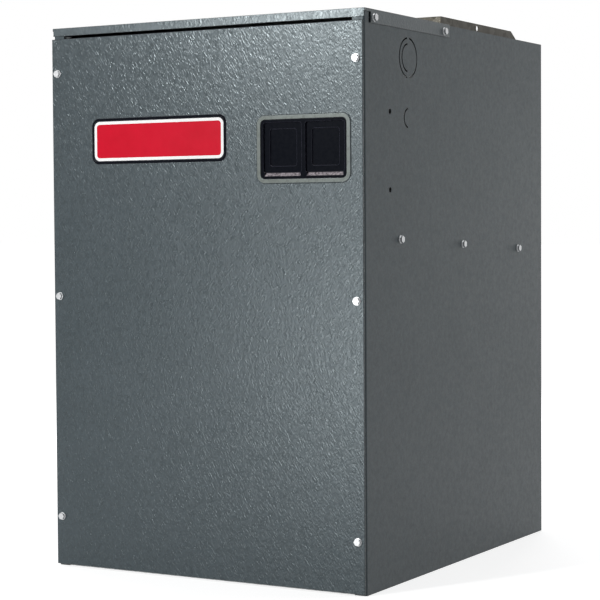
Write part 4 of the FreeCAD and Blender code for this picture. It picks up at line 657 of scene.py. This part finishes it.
def white_world():
    """A dim white sky, which looks full white where it is seen straight, in gloss or through glass."""
    world = bpy.data.worlds.new("studio")
    bpy.context.scene.world = world
    world.use_nodes = True
    glow = 0.14
    nodes, links = world.node_tree.nodes, world.node_tree.links
    sky = nodes["Background"]
    sky.inputs["Color"].default_value = (0.95, 0.97, 1.0, 1)
    sky.inputs["Strength"].default_value = glow
    seen = nodes.new("ShaderNodeBackground")
    seen.inputs["Color"].default_value = (1, 1, 1, 1)
    swap = nodes.new("ShaderNodeMixShader")
    links.new(direct_view(nodes, links), swap.inputs["Fac"])
    links.new(sky.outputs["Background"], swap.inputs[1])
    links.new(seen.outputs["Background"], swap.inputs[2])
    links.new(swap.outputs["Shader"], nodes["World Output"].inputs["Surface"])


def pale_floor():
    """A wide floor that keeps the shadow."""
    reach = 30.0
    mesh = bmesh.new()
    bmesh.ops.create_grid(mesh, x_segments=1, y_segments=1, size=reach)
    data = bpy.data.meshes.new("floor")
    mesh.to_mesh(data)
    mesh.free()
    floor = bpy.data.objects.new("floor", data)
    bpy.context.scene.collection.objects.link(floor)
    data.materials.append(floor_skin())


def direct_view(nodes, links):
    """1 for rays that show the background straight or in gloss or glass, else 0."""
    path = nodes.new("ShaderNodeLightPath")
    total = path.outputs["Is Camera Ray"]
    for name in ("Is Glossy Ray", "Is Transmission Ray"):
        larger = nodes.new("ShaderNodeMath")
        larger.operation = "MAXIMUM"
        links.new(total, larger.inputs[0])
        links.new(path.outputs[name], larger.inputs[1])
        total = larger.outputs["Value"]
    return total


def floor_skin():
    """Grey floor with light of its own where it is seen, so that it looks white except in the shadow."""
    shader = Shader("floor_white", Roughness=1.0, Specular_IOR_Level=0.0)
    shader.surface(Base_Color=shader.over_noise(shader.noise(0.8), 0.50, 0.52))
    shader.surface(Emission_Color=(1, 1, 1, 1))
    distance = shader.add("ShaderNodeVectorMath", {0: shader.place}, operation="LENGTH").outputs["Value"]
    reach, near, far = 6.0, (0.08, 0.75), (0.6, 1.0)
    lift = shader.ramp(shader.math("DIVIDE", distance, reach), near, far)
    shader.surface(Emission_Strength=shader.math("MULTIPLY", direct_view(shader.nodes, shader.links), lift))
    return shader.material


def direction(azimuth, elevation):
    """Unit vector away from the cabinet. Azimuth runs from the front towards +X, both in degrees."""
    turn, rise = radians(azimuth), radians(elevation)
    return Vector((sin(turn) * cos(rise), -cos(turn) * cos(rise), sin(rise)))


def lamp(name, azimuth, elevation, size, power, tall=None):
    """An area lamp aimed at the cabinet's middle, square unless it has a height of its own."""
    reach, middle = 2.2, Vector((0, 0, 0.38))
    away = direction(azimuth, elevation)
    data = bpy.data.lights.new(name, "AREA")
    data.shape = "RECTANGLE"
    data.size = size
    data.size_y = tall or size
    data.energy = power
    item = bpy.data.objects.new(name, data)
    item.location = middle + away * reach
    item.rotation_euler = away.to_track_quat("Z", "Y").to_euler()
    item.visible_camera = False
    bpy.context.scene.collection.objects.link(item)


def lamps():
    """Two lamps that the door mirrors at its top and right, two for the right side, and fills."""
    lamp("front_high", azimuth=-18, elevation=19, size=0.12, power=21.0)
    lamp("front_low", azimuth=-10, elevation=-5.5, size=0.8, power=11.5, tall=0.32)
    lamp("rear_right", azimuth=115, elevation=40, size=0.6, power=9.0)
    lamp("rear_low", azimuth=172, elevation=2, size=0.5, power=1.5)
    lamp("left_fill", azimuth=-112, elevation=22, size=0.9, power=18.0)
    lamp("back_fill", azimuth=196, elevation=24, size=0.9, power=18.0)
    lamp("top_fill", azimuth=20, elevation=86, size=0.9, power=8.0)


def camera():
    """Camera at the photograph's angle, from a fit to twenty points of the cabinet."""
    away, roll = direction(azimuth=29.68, elevation=2.36), radians(-0.35)
    focal_pixels, distance = 1878, 2.525
    target = Vector((-0.0159, 0.002, 0.3323))
    data = bpy.data.cameras.new("camera")
    data.sensor_width = SENSOR_MM
    data.lens = SENSOR_MM * focal_pixels / PHOTO_PIXELS
    item = bpy.data.objects.new("camera", data)
    aim = (-away).to_track_quat("-Z", "Y").to_matrix().to_4x4()
    item.matrix_world = Matrix.Translation(target + away * distance) @ aim @ Matrix.Rotation(roll, 4, "Z")
    bpy.context.scene.collection.objects.link(item)
    bpy.context.scene.camera = item


materials = make_materials()
dress(materials)
linings(foil_facing(), materials["lining_board"])
gasket(materials["foam_gasket"])
# Painted shade: a black bead in the recess round the plate.
plate_recess_shade(materials["black_plastic"])
white_world()
pale_floor()
lamps()
camera()
bpy.context.scene.view_settings.view_transform = "Standard"
